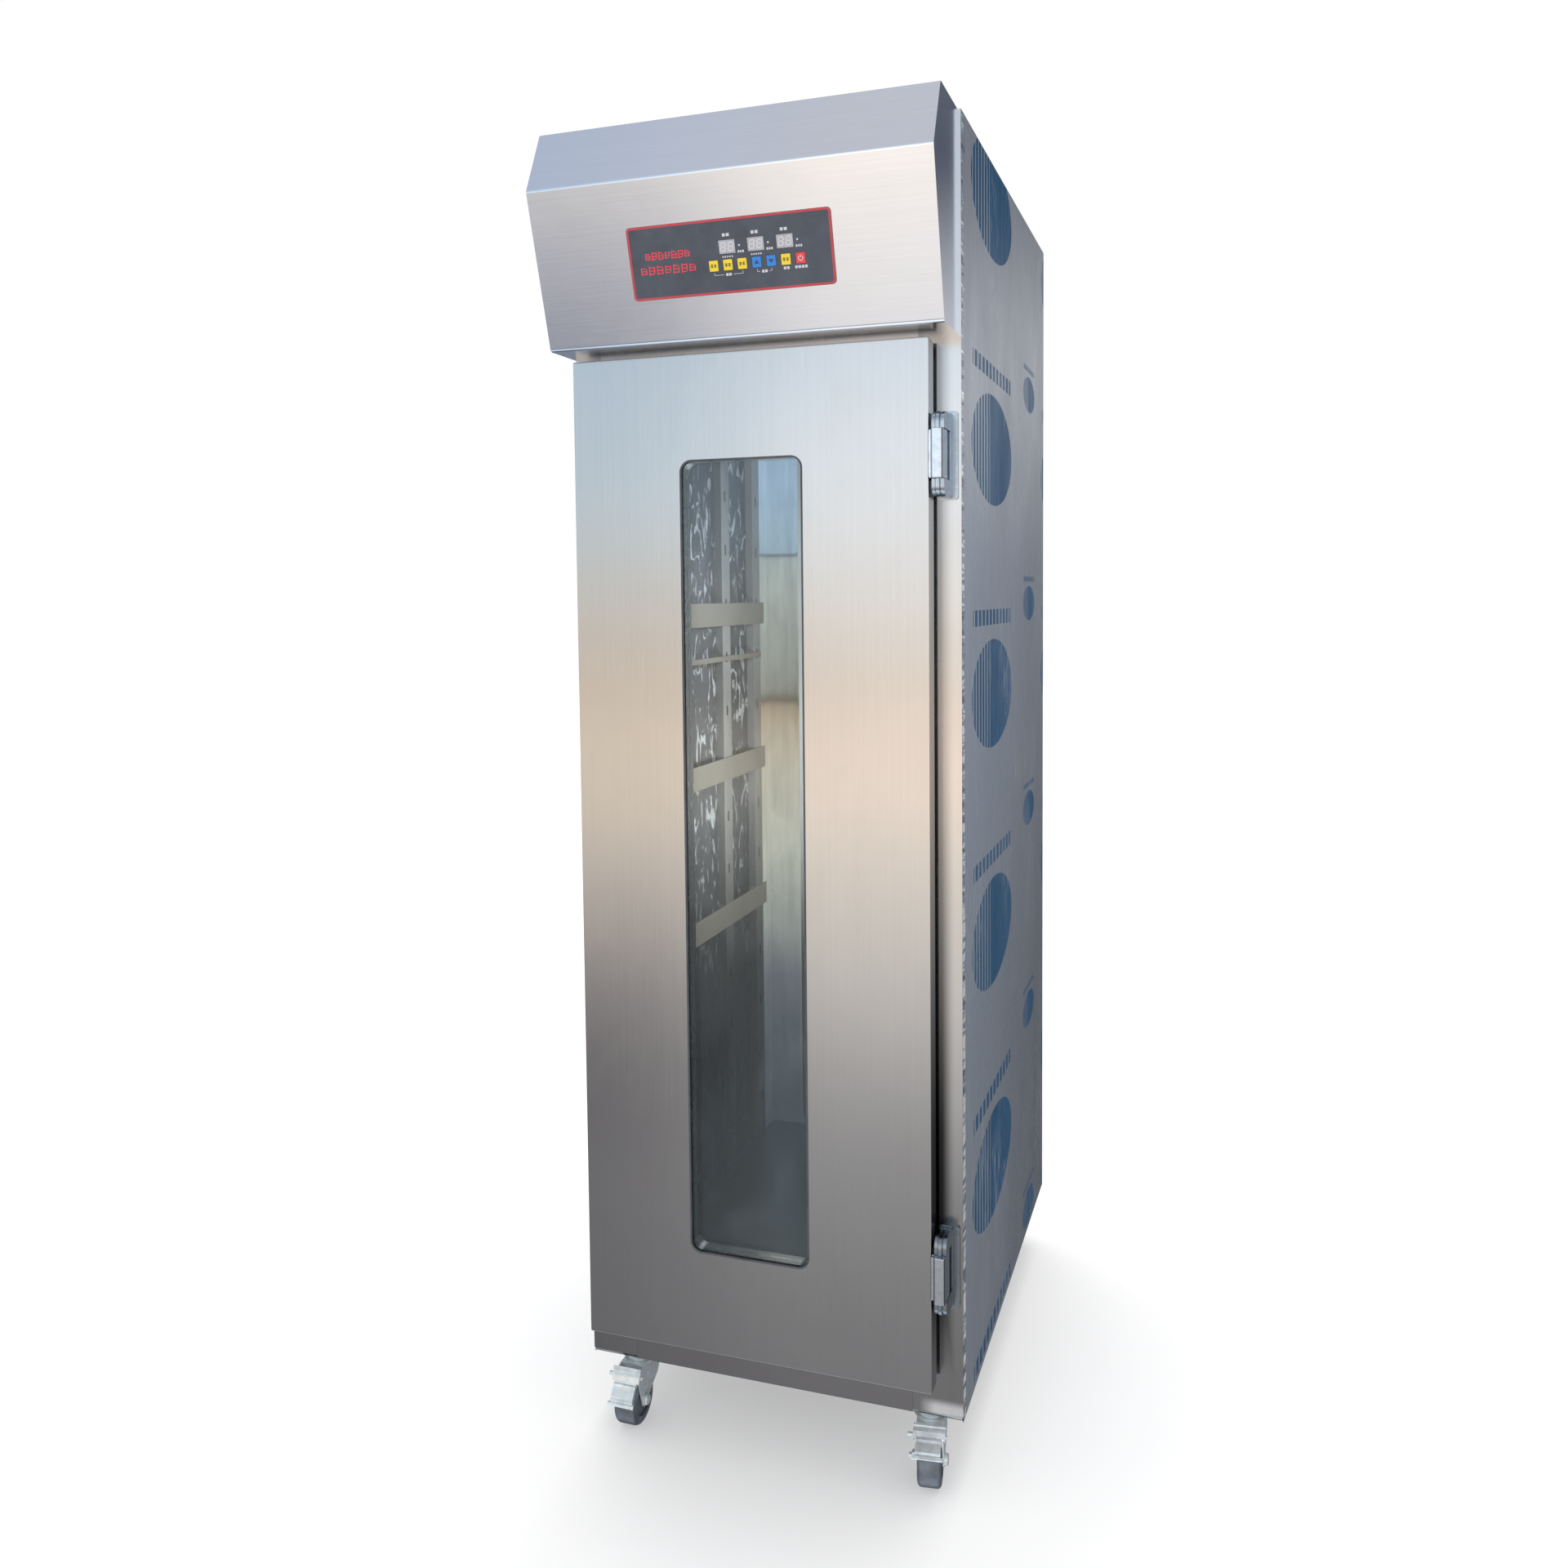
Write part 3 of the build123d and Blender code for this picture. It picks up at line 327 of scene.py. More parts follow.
def plated_steel(name, colour, roughness=0.24, wear=1.0, rim_shade=0.0, low_shade=1.0, metallic=1.0):
    """Zinc-plated or die-cast part: mottled brightness, small pits and dull patches.

    rim_shade darkens rounded edges with painted shade, by how far their faces turn sideways.
    low_shade is the share of the colour left at the foot by a painted shade.
    """
    made, g = new_material(name)
    mottle = g.noise(g.object_point((90, 90, 90)), 4, 0.6, 0.5)
    speck = g.noise(g.object_point((900, 900, 900)), 2, 0.5)
    pit_colour = (0.30, 0.29, 0.27)
    base = g.mix(g.span(mottle, 0.35, 0.7), colour, times(colour, 1 - 0.32 * wear))
    base = g.mix(g.span(speck, 0.62, 0.74, 0, 0.35 * wear), base, pit_colour)
    # Painted shade on rounded edges.
    if rim_shade > 0:
        normal = g.node("ShaderNodeNewGeometry").outputs["Normal"]
        sideways = g.math("ABSOLUTE", g.node("ShaderNodeSeparateXYZ", {0: normal}).outputs[0])
        rim = g.math("MULTIPLY", g.span(sideways, *RIM_STARTS, smooth=True),
                     g.span(sideways, *RIM_EASES, 1.0, 0.55))
        base = g.mix(g.math("MULTIPLY", rim, rim_shade), base, times(colour, 0.10))
    # Painted shade towards the foot.
    if low_shade < 1:
        shadow = (0.02, 0.022, 0.025)
        base = g.mix(g.span(g.axis("z"), *CASTING_FADE, 1 - low_shade, 0), base, shadow)
    rough = g.math("ADD", g.span(mottle, 0.3, 0.7, roughness - 0.06 * wear, roughness + 0.14 * wear),
                   g.span(speck, 0.6, 0.75, 0, 0.2 * wear))
    normal = g.bump(speck, 0.00006 * wear, 0.5, g.bump(mottle, 0.0004 * wear, 0.3))
    g.surface(Base_Color=base, Metallic=metallic, Roughness=rough, Normal=normal)
    return made


def moulded(name, colour, roughness=0.45, grain_size=1500, depth=0.00004, variation=0.12, metallic=0.0):
    """Moulded plastic or rubber with a fine grain and slightly uneven colour."""
    made, g = new_material(name)
    fine = g.noise(g.object_point((grain_size,) * 3), 3, 0.55)
    cloud = g.noise(g.object_point((35, 35, 35)), 3, 0.6)
    light = tuple(min(1, channel + 0.01) for channel in times(colour, 1 + variation))
    base = g.mix(g.span(cloud, 0.3, 0.7), times(colour, 1 - variation), light)
    rough = g.span(fine, 0.3, 0.7, roughness - 0.07, roughness + 0.07)
    g.surface(Base_Color=base, Metallic=metallic, Roughness=rough, Normal=g.bump(fine, depth, 0.5))
    return made


# ---------------------------------------------------------------- protective film on the side sheet
# The film's print: how often it comes, along the side and up it, in metres.
PRINT_PITCH_Y, PRINT_PITCH_Z = 0.60, 0.320
PRINT_INK = (0.0, 0.052, 0.125)
# Each column of print: its middle and half its size, as (y, z) in metres.
PRINT_COLUMNS = (((-0.080, 0.028), (0.150, 0.092)), ((0.238, 0.132), (0.058, 0.034)))
# The corner weld is the strip in front of this.
WELD_Y = -0.2755
# Small round holes near the top, as (y, z, radius) in metres.
FILM_HOLES = ((-0.273, 1.616, 0.0026), (-0.285, 1.573, 0.0018), (-0.287, 1.553, 0.0016))


def from_middles(g, value, middle, pitch):
    """How far a coordinate is past the nearest of the middles that come every pitch."""
    past_edge = g.math("FLOORED_MODULO", g.math("SUBTRACT", value, middle - pitch / 2), pitch)
    return g.math("SUBTRACT", past_edge, pitch / 2)


def print_column(g, middle, half):
    """A mask of one column of plain marks: an oval, hatched on one side, under a row of dashes."""
    half_y, half_z = half
    across = from_middles(g, g.axis("y"), middle[0], PRINT_PITCH_Y)
    lift = from_middles(g, g.axis("z"), middle[1], PRINT_PITCH_Z)
    wide = g.math("POWER", g.math("DIVIDE", across, half_y), 2)
    tall = g.math("POWER", g.math("DIVIDE", g.math("ADD", lift, half_z * 0.22), half_z * 0.78), 2)
    oval = g.math("LESS_THAN", g.math("ADD", wide, tall), 1.0)
    hatch_pitch, hatch_line, hatch_end = half_y * 0.13, half_y * 0.085, -half_y * 0.15
    hatch = g.math("LESS_THAN", g.math("FLOORED_MODULO", across, hatch_pitch), hatch_line)
    oval = g.math("MULTIPLY", oval, g.math("MAXIMUM", hatch, g.math("GREATER_THAN", across, hatch_end)))
    row_lift, row_half, row_end = half_z * 0.88, half_z * 0.11, half_y * 0.94
    dash_pitch, dash_length = half_y * 0.17, half_y * 0.11
    row = g.math("LESS_THAN", g.math("ABSOLUTE", g.math("SUBTRACT", lift, row_lift)), row_half)
    row = g.math("MULTIPLY", row, g.math("LESS_THAN", g.math("ABSOLUTE", across), row_end))
    dash = g.math("LESS_THAN", g.math("FLOORED_MODULO", across, dash_pitch), dash_length)
    return g.math("MAXIMUM", oval, g.math("MULTIPLY", row, dash))


def print_mask(g):
    """Where the film's print is, slightly worn."""
    ink = g.math("MAXIMUM", *(print_column(g, middle, half) for middle, half in PRINT_COLUMNS))
    worn = g.noise(g.object_point((40, 60, 25)), 4, 0.6, 0.5)
    return g.math("MULTIPLY", ink, g.span(worn, 0.25, 0.5, 0.97, 1.0))


def scratch_mask(g):
    """Thin scratches in two directions, in patches."""
    steep = g.noise(g.object_point((40, 900, 12), (0.5, 0, 0)), 1, 0.4, 1.5)
    back = g.noise(g.object_point((40, 700, 9), (-0.7, 0, 0), (4, 1, 2)), 1, 0.4, 2.0)
    patch = g.span(g.noise(g.object_point((5, 5, 4), offset=(2, 8, 3)), 2, 0.5), 0.50, 0.62)
    either = g.math("MAXIMUM", g.span(steep, 0.66, 0.72), g.span(back, 0.68, 0.74))
    return g.math("MULTIPLY", either, patch)


def with_weld_and_holes(g, film):
    """The film's colour with the corner weld's dashes, denser towards the foot, and the small holes."""
    depth, height = g.axis("y"), g.axis("z")
    at_weld = g.math("LESS_THAN", depth, WELD_Y)
    stitch = g.noise(g.object_point((30, 25, 170)), 2, 0.6)
    pale = g.math("GREATER_THAN", stitch, g.span(height, 0.2, 1.5, 0.47, 0.60))
    film = g.mix(g.math("MULTIPLY", at_weld, pale), film, (0.92, 0.92, 0.92))
    dark = g.span(stitch, 0.44, 0.36, 0, 0.85)
    film = g.mix(g.math("MULTIPLY", at_weld, dark), film, (0.03, 0.035, 0.04))
    for hole_y, hole_z, radius in FILM_HOLES:
        squares = [g.math("POWER", g.math("SUBTRACT", value, middle), 2)
                   for value, middle in ((depth, hole_y), (height, hole_z))]
        away = g.math("SQRT", g.math("ADD", *squares))
        film = g.mix(g.math("LESS_THAN", away, radius), film, (0.02, 0.02, 0.025))
    return film


def film_over_steel():
    """Side sheet still under its protective film: blue print, wrinkles, scuffs, scratches and painted
    shade.
    """
    made, g = new_material("filmed_side_sheet")
    ink, scratches = print_mask(g), scratch_mask(g)
    cloud = g.noise(g.object_point((4, 5, 2.2)), 4, 0.6, 0.8)
    streak = g.noise(g.object_point((60, 60, 3)), 3, 0.6)
    # Painted shade: the film darkens towards the rear and is paler towards the top.
    film = g.mix(g.span(g.axis("y"), -0.26, 0.30), (0.31, 0.355, 0.42), (0.085, 0.095, 0.115))
    film = g.mix(g.span(g.axis("z"), 1.15, 1.50, 0, 0.50), film, (0.50, 0.54, 0.59))
    film = g.mix(g.span(cloud, 0.38, 0.68, 0, 0.45), film, (0.30, 0.295, 0.32))
    film = g.mix(g.span(streak, 0.4, 0.8, 0, 0.25), film, (0.20, 0.22, 0.26))
    film = g.mix(ink, film, PRINT_INK)
    film = g.mix(g.math("MULTIPLY", scratches, 0.7), film, (0.80, 0.82, 0.85))
    film = with_weld_and_holes(g, film)
    wrinkle = g.noise(g.object_point((9, 16, 5), (0.4, 0, 0)), 3, 0.5, 2.2)
    bubble = g.noise(g.object_point((120, 120, 120)), 2, 0.5)
    normal = g.bump(wrinkle, 0.004, 0.30, g.bump(bubble, 0.0003, 0.25))
    rough = g.math("ADD", g.span(cloud, 0.3, 0.7, 0.22, 0.38), g.math("MULTIPLY", scratches, 0.2))
    g.surface(Base_Color=film, Metallic=g.span(ink, 0, 1, 0.6, 0.0), Roughness=rough, Normal=normal,
              Specular_IOR_Level=g.span(ink, 0, 1, 0.5, 0.06), Coat_Weight=g.span(ink, 0, 1, 0.3, 0.0),
              Coat_Roughness=0.2)
    return made


# ---------------------------------------------------------------- glass, ink, foam and board
def window_pane(name, tint, shine):
    """Clear glass: a mirror that strengthens towards grazing, over a lightly tinted see-through pane."""
    made, g = new_material(name)
    smudge = g.noise(g.object_point((10, 10, 6), (0.2, 0.4, 0)), 4, 0.65, 0.8)
    mirror = g.node("ShaderNodeBsdfGlossy", {"Color": (0.92, 0.97, 1.0, 1), "Roughness": 0.0})
    clear = g.node("ShaderNodeBsdfTransparent", {"Color": (*tint, 1)})
    fresnel = g.node("ShaderNodeFresnel", {"IOR": 1.5}).outputs[0]
    share = g.math("ADD", g.math("MULTIPLY", fresnel, shine), g.span(smudge, 0.5, 0.8, 0, 0.02))
    both = g.node("ShaderNodeMixShader", {0: share, 1: clear.outputs[0], 2: mirror.outputs[0]})
    g.node("ShaderNodeOutputMaterial", {"Surface": both.outputs[0]})
    return made


def printed(name, colour, roughness=0.4):
    """Ink on the overlay film: flat colour broken by a fine screen and slight wear."""
    made, g = new_material(name)
    screen = g.noise(g.object_point((2400, 2400, 2400)), 2, 0.5)
    wear = g.noise(g.object_point((120, 120, 120)), 3, 0.6)
    tone = g.math("ADD", g.span(screen, 0.3, 0.7, 0.90, 1.02), g.span(wear, 0.4, 0.7, 0, -0.08))
    g.surface(Base_Color=g.scaled(colour, tone), Roughness=roughness, Normal=g.bump(screen, 0.00002, 0.4))
    return made


def foam_board():
    """Cream insulation foam with fine cells."""
    made, g = new_material("foam")
    cells = g.noise(g.object_point((1400, 1400, 1400)), 3, 0.6)
    patch = g.noise(g.object_point((25, 25, 25)), 3, 0.5)
    base = g.mix(g.span(patch, 0.3, 0.7), (0.80, 0.72, 0.50), (0.90, 0.84, 0.64))
    g.surface(Base_Color=base, Roughness=0.9, Normal=g.bump(cells, 0.0004, 0.6))
    return made


def circuit_board():
    """Green board with a grid of paler tracks."""
    made, g = new_material("circuit_board")
    tracks = g.node("ShaderNodeTexBrick", {"Vector": g.object_point((1, 1, 1), (1.2, 0, 0)), "Scale": 160.0,
                                           "Mortar Size": 0.03, "Color1": (0.02, 0.16, 0.07, 1),
                                           "Color2": (0.03, 0.20, 0.09, 1),
                                           "Mortar": (0.05, 0.30, 0.15, 1)})
    fine = g.noise(g.object_point((800, 800, 800)), 2, 0.5)
    rough = g.span(fine, 0.3, 0.7, 0.25, 0.4)
    g.surface(Base_Color=tracks.outputs[0], Roughness=rough, Normal=g.bump(fine, 0.00005, 0.4))
    return made


# ---------------------------------------------------------------- the finishes
# The door and the stiles carry painted shade towards the foot through low_shade.
door_steel = brushed_steel("door_steel", (0.56, 0.56, 0.565), 0.17, "z", 0.06, (1.0, 0.98, 0.95), 0.62,
                           (0.40, 0.72))
# The hood's left end carries a painted bluish reflection.
hood_steel = brushed_steel("hood_steel", (0.88, 0.895, 0.94), 0.19, "x", 0.05, (1.0, 1.0, 0.99),
                           left_reflection_tint=(0.83, 0.90, 1.0))
frame_steel = brushed_steel("frame_steel", (0.50, 0.50, 0.50), 0.17, "x", 0.08, (1.0, 0.97, 0.92))
# The stiles also carry painted shade beside the door's gap and a painted highlight on the right hem.
stile_steel = brushed_steel("stile_steel", (0.58, 0.58, 0.585), 0.17, "z", 0.08, (1.0, 0.97, 0.92), 0.50,
                            (0.30, 0.68), (0.2235, 0.242))
# The rails and base pan are the same stainless made darker: painted shade low under the door.
rail_steel_painted_shade = brushed_steel("rail_steel_painted_shade", (0.27, 0.265, 0.275), 0.22, "x", 0.10, (1.0, 0.96, 0.92))
back_steel = brushed_steel("back_steel", (0.58, 0.59, 0.60), 0.26, "z", 0.10, (1.0, 0.98, 0.95))
liner_steel = chamber_steel("liner_steel", (0.085, 0.083, 0.092), crinkle=0.75, strip=True)
duct_steel = chamber_steel("duct_steel", (0.55, 0.54, 0.52), crinkle=0.10, strip=True)
rack_steel = chamber_steel("rack_steel", (0.26, 0.245, 0.235), bars=RACK_BARS)
chamber_sheet = brushed_steel("chamber_sheet", (0.30, 0.35, 0.38), 0.30, "y", 0.10)
rod_steel = brushed_steel("rod_steel", (0.66, 0.65, 0.63), 0.22, "z", 0.06)
zinc = plated_steel("zinc_plate", (0.86, 0.92, 0.94), 0.22, 0.9, 0.45, metallic=0.45)
# The hinge castings carry painted rim shade and painted shade towards the foot.
cast_bright = plated_steel("hinge_casting", (0.62, 0.66, 0.71), 0.12, 0.5, 0.9, 0.85)
cast_plate = plated_steel("hinge_plate", (0.44, 0.49, 0.55), 0.18, 0.4, 0.8, 0.62)
screw_steel = plated_steel("screw_steel", (0.72, 0.73, 0.74), 0.24)
brass = plated_steel("brass", (0.78, 0.58, 0.26), 0.26)
tyre = moulded("wheel_tread", (0.15, 0.17, 0.20), 0.36, 900, 0.00012, 0.28, 0.5)
seal = moulded("seal_rubber", (0.060, 0.068, 0.080), 0.45, 1300, 0.00006, 0.2)
gasket = moulded("gasket_rubber", (0.22, 0.26, 0.33), 0.5, 1100, 0.00008, 0.2)
black_plastic = moulded("black_plastic", (0.020, 0.021, 0.024), 0.42)
fan_plastic = moulded("fan_plastic", (0.030, 0.032, 0.036), 0.38)
overlay = moulded("overlay_film", (0.060, 0.070, 0.095), 0.34, 2200, 0.00002, 0.10)
lens = moulded("display_lens", (0.42, 0.42, 0.46), 0.30, 2200, 0.00001, 0.06)
key_yellow = moulded("key_yellow", (0.84, 0.62, 0.030), 0.42, 2400, 0.00002, 0.06)
key_blue = moulded("key_blue", (0.030, 0.215, 0.620), 0.42, 2400, 0.00002, 0.06)
key_red = moulded("key_red", (0.75, 0.045, 0.055), 0.42, 2400, 0.00002, 0.06)
bright_red = printed("bright_red_ink", (1.0, 0.045, 0.065))
border_ink = printed("border_ink", (0.55, 0.055, 0.070))
white_ink = printed("white_ink", (0.62, 0.63, 0.66))
dark_ink = printed("dark_ink", (0.10, 0.075, 0.020))
digit_ink = printed("digit_segments", (0.70, 0.70, 0.74))
outer_pane = window_pane("outer_pane", (0.92, 0.96, 0.98), 0.6)
inner_pane = window_pane("inner_pane", (0.94, 0.97, 0.98), 0.4)
film = film_over_steel()
foam = foam_board()
board = circuit_board()

CASTER_PLACES = ("front_left", "front_right", "rear_left", "rear_right")
FINISHES = {
    film: ["side_panel_left", "side_panel_right"],
    door_steel: ["door_skin"],
    hood_steel: ["hood_shell"],
    frame_steel: ["header_panel"],
    stile_steel: ["stile_left", "stile_right"],
    rail_steel_painted_shade: ["bottom_rail", "base_pan"],
    back_steel: ["rear_panel", "roof_panel", "door_liner"],
    liner_steel: ["liner_wrap", "liner_ceiling"],
    chamber_sheet: ["liner_floor"],
    duct_steel: ["air_duct"],
    rack_steel: ["rack_left", "rack_right"],
    rod_steel: ["heater_element", "hinge_pins"],
    cast_bright: ["hinge_door_leaves"],
    cast_plate: ["hinge_frame_leaves"],
    screw_steel: ["panel_screws", "fan_motor", "corner_shoes"],
    brass: ["spray_nozzle"],
    seal: ["window_seal"],
    gasket: ["door_gasket"],
    black_plastic: ["power_gland", "door_pull"],
    fan_plastic: ["fan_rotor"],
    overlay: ["control_overlay"],
    lens: ["displays"],
    key_yellow: ["key_temperature", "key_humidity", "key_timer", "key_light"],
    key_blue: ["key_up", "key_down"],
    key_red: ["key_power"],
    outer_pane: ["outer_glass"],
    inner_pane: ["inner_glass"],
    foam: ["insulation", "door_insulation"],
    board: ["control_board"],
    zinc: ["caster_plates", "brake_pedal_left", "brake_pedal_right"]
          + [f"{part}_{place}" for part in ("fork", "axle") for place in CASTER_PLACES],
    tyre: [f"wheel_{place}" for place in CASTER_PLACES],
}

for finish, names in FINISHES.items():
    for name in names:
        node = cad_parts[name]
        node.data.materials.clear()
        node.data.materials.append(finish)


# ---------------------------------------------------------------- printed detail on the control panel
# Sizes and places on the panel are in mm, across from its middle and up its leaning face. The top of the
# hood's face stands FACE_RUN in front of its foot, and FACE_RISE above it.
overlay_low, overlay_high = (Vector(corner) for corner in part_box("control_overlay"))
FACE_RUN, FACE_RISE = 53.2, 178.5
FACE_LEAN = math.atan2(FACE_RUN, FACE_RISE)
FACE_OUT = Vector((0, -math.cos(FACE_LEAN), -math.sin(FACE_LEAN)))
FACE_UP = Vector((0, -math.sin(FACE_LEAN), math.cos(FACE_LEAN)))
FILM_HALF = 0.6           # half the overlay's thickness
FACE_CENTRE = (overlay_low + overlay_high) / 2 + FACE_OUT * FILM_HALF * MM
INK = 0.06                # how thick the printed marks are
KEY_TOP = 0.3             # how far the keys stand above the film
DIGIT_LOW, DIGIT_HIGH = -0.52, -0.44   # the displays' figures lie this far under the film's face


def face_point(u, v, lift):
    """A point on the panel, in mm right of and above its middle, and lift mm proud of its film."""
    return FACE_CENTRE + Vector((u, 0, 0)) * MM + FACE_UP * v * MM + FACE_OUT * lift * MM


def slab(mesh, outline, low, high):
    """Add a closed slab with this outline, from low to high mm above the panel."""
    bottom = [mesh.verts.new(face_point(u, v, low)) for u, v in outline]
    upper = [mesh.verts.new(face_point(u, v, high)) for u, v in outline]
    mesh.faces.new(list(reversed(bottom)))
    mesh.faces.new(upper)
    for i in range(len(outline)):
        j = (i + 1) % len(outline)
        mesh.faces.new((bottom[i], bottom[j], upper[j], upper[i]))


def bar(u, v, width, height, slant=0.0):
    """A rectangle's outline about (u, v), leaning right by slant mm at its top."""
    w, h = width / 2, height / 2
    return [(u - w - slant / 2, v - h), (u + w - slant / 2, v - h), (u + w + slant / 2, v + h),
            (u - w + slant / 2, v + h)]


def piece_from(mesh, name, finish, body):
    """Turn a bmesh into a piece that rides on a body."""
    bmesh.ops.recalc_face_normals(mesh, faces=mesh.faces)
    data = bpy.data.meshes.new(name)
    mesh.to_mesh(data)
    mesh.free()
    data.materials.append(finish)
    made = bpy.data.objects.new(name, data)
    bpy.context.collection.objects.link(made)
    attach(made, body)
    return made


def ring_outline(width, height, corner, steps=6):
    """A rounded rectangle about the panel's middle."""
    points = []
    for cx, cy, start in ((1, 1, 0), (-1, 1, 90), (-1, -1, 180), (1, -1, 270)):
        for i in range(steps + 1):
            a = math.radians(start + 90 * i / steps)
            points.append((cx * (width / 2 - corner) + corner * math.cos(a),
                           cy * (height / 2 - corner) + corner * math.sin(a)))
    return points


def add_red_border():
    """The red line round the film's edge."""
    mesh = bmesh.new()
    width, height, line, outer_corner, inner_corner = 249.4, 82.4, 2.5, 4.8, 2.6
    outer = ring_outline(width, height, outer_corner)
    inner = ring_outline(width - 2 * line, height - 2 * line, inner_corner)
    rows = [[mesh.verts.new(face_point(u, v, lift)) for u, v in outline]
            for outline, lift in ((outer, 0.0), (outer, INK), (inner, INK), (inner, 0.0))]
    count = len(outer)
    for a, b in ((0, 1), (1, 2), (2, 3), (3, 0)):
        for i in range(count):
            j = (i + 1) % count
            mesh.faces.new((rows[a][i], rows[a][j], rows[b][j], rows[b][i]))
    piece_from(mesh, "panel_border", border_ink, "cabinet")


def add_red_block():
    """Two rows of small red frames, a plain decoration left of the displays."""
    mesh = bmesh.new()
    count, line, slant, shift = 7, 1.05, 0.4, 0.9
    for v, start, length, size in ((7.4, -101, 58, 9.4), (-8.6, -108, 72, 10.4)):
        step = length / count
        for i in range(count):
            u, half = start + i * step, step * 0.31
            tall = size if i % 3 else size * 0.82
            slab(mesh, bar(u - half, v, line, tall, slant), 0, INK)
            slab(mesh, bar(u + half, v + (shift if i % 2 else -shift), line, tall * 0.72, slant), 0, INK)
            for k in (-1, 0, 1):
                slab(mesh, bar(u, v + k * tall * 0.36, 2 * half - line * 1.3, line * 0.85), 0, INK)
    piece_from(mesh, "panel_red_frames", bright_red, "cabinet")


# Where the rows of keys and displays are: v is up the panel from its middle, and u is across it.
KEY_V = -9.8
DISPLAY_V = 10.1
key_u = {}
for key in ("temperature", "humidity", "timer", "up", "down", "light", "power"):
    key_low, key_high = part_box(f"key_{key}")
    key_u[key] = (key_low[0] + key_high[0]) / 2 / MM - FACE_CENTRE.x / MM
FIRST_DISPLAY_U, DISPLAY_PITCH = -1.8, 35
DISPLAY_U = [FIRST_DISPLAY_U + DISPLAY_PITCH * i for i in range(3)]


def add_white_marks():
    """Small pale label marks, brackets and indicator dots."""
    mesh = bmesh.new()
    label, unit, lamp, dot, letter = (3.6, 3.4), (1.9, 2.6), (2.0, 2.0), (1.7, 1.7), (3.1, 3.0)
    for u in DISPLAY_U:
        for offset in (-2.4, 2.4):
            slab(mesh, bar(u + offset, DISPLAY_V + 13, *label), 0, INK)
        for offset in (13.8, 16.6, 19.4):
            slab(mesh, bar(u + offset, DISPLAY_V - 6.4, *unit), 0, INK)
        slab(mesh, bar(u + 15.2, DISPLAY_V + 0.4, *lamp), 0, INK)
    dots, dot_pitch = 5, 2.8
    for u in DISPLAY_U[:2]:
        for i in range(dots):
            slab(mesh, bar(u + (i - 2) * dot_pitch, KEY_V + 9.0, *dot), 0, INK)
    line, gap, sign = 0.5, 5.6, 3.0
    for first, last in (("temperature", "timer"), ("up", "down")):
        left, right = key_u[first], key_u[last]
        middle, v = (left + right) / 2, KEY_V - 10.6
        for side in (-1, 1):
            end = middle + side * (right - left) / 2
            near = middle + side * gap
            slab(mesh, bar((end + near) / 2, v, abs(end - near), line), 0, INK)
            slab(mesh, bar(end, v + 1.4, line, 3.0), 0, INK)
            slab(mesh, bar(middle + side * 1.9, v, sign, sign), 0, INK)
    letter_pitch = 3.9
    for key, count in (("light", 2), ("power", 4)):
        for i in range(count):
            offset = (i - (count - 1) / 2) * letter_pitch
            slab(mesh, bar(key_u[key] + offset, KEY_V - 9.4, *letter), 0, INK)
    piece_from(mesh, "panel_white_marks", white_ink, "cabinet")


# A figure's segments: across and up from its middle, width and height.
LEVEL_SEGMENTS = [(0, v, 4.4, 1.0) for v in (4.6, 0, -4.6)]
UPRIGHT_SEGMENTS = [(u, v, 1.0, 3.6) for v in (2.3, -2.3) for u in (-2.8, 2.8)]


def add_digits():
    """Two unlit seven-segment figures behind each display window."""
    mesh = bmesh.new()
    from_middle, lean = 4.7, 0.14
    for u in DISPLAY_U:
        for side in (-1, 1):
            for du, dv, width, height in LEVEL_SEGMENTS + UPRIGHT_SEGMENTS:
                across = u + side * from_middle + du + lean * dv
                slab(mesh, bar(across, DISPLAY_V + dv, width, height, lean * height), DIGIT_LOW, DIGIT_HIGH)
    piece_from(mesh, "display_digits", digit_ink, "cabinet")


def add_arrow(mesh, u, tip):
    """A triangle at u that points up where tip is 1, and down where it is -1."""
    half, base, point = 3.2, 1.8, 2.6
    slab(mesh, [(u - tip * half, KEY_V - tip * base), (u + tip * half, KEY_V - tip * base),
                (u, KEY_V + tip * point)], KEY_TOP, KEY_TOP + INK)


def add_power_sign(mesh, u):
    """A ring open at its top, with a stroke in the opening."""
    steps, inner, outer = 10, 2.3, 3.2
    for i in range(steps):
        a, b = (math.radians(125 + 290 * j / steps) for j in (i, i + 1))
        slab(mesh, [(u + r * math.cos(t), KEY_V + r * math.sin(t))
                    for r, t in ((inner, a), (inner, b), (outer, b), (outer, a))], KEY_TOP, KEY_TOP + INK)
    slab(mesh, bar(u, KEY_V + 2.2, 0.9, 3.2), KEY_TOP, KEY_TOP + INK)


def add_bar_sign(mesh, u):
    """Two stacks of three short bars, each crossed by an upright."""
    line = 0.7
    for offset in (-2.0, 2.0):
        for row in (-1.3, 0, 1.3):
            slab(mesh, bar(u + offset, KEY_V + row, 3.0, line), KEY_TOP, KEY_TOP + INK)
        slab(mesh, bar(u + offset, KEY_V, line, 3.6), KEY_TOP, KEY_TOP + INK)


def add_key_marks():
    """A plain sign on each key: bars, arrows, and a ring with a stroke."""
    for key, u in key_u.items():
        mesh = bmesh.new()
        if key in ("up", "down"):
            add_arrow(mesh, u, 1 if key == "up" else -1)
            finish, slot_name = printed(f"ink_{key}", (0.02, 0.06, 0.22)), "key_blue"
        elif key == "power":
            add_power_sign(mesh, u)
            finish, slot_name = white_ink, "key_red"
        else:
            add_bar_sign(mesh, u)
            finish, slot_name = dark_ink, "key_yellow"
        piece_from(mesh, f"mark_{key}", finish, f"key_{key}")


add_red_border()
add_red_block()
add_white_marks()
add_digits()
add_key_marks()


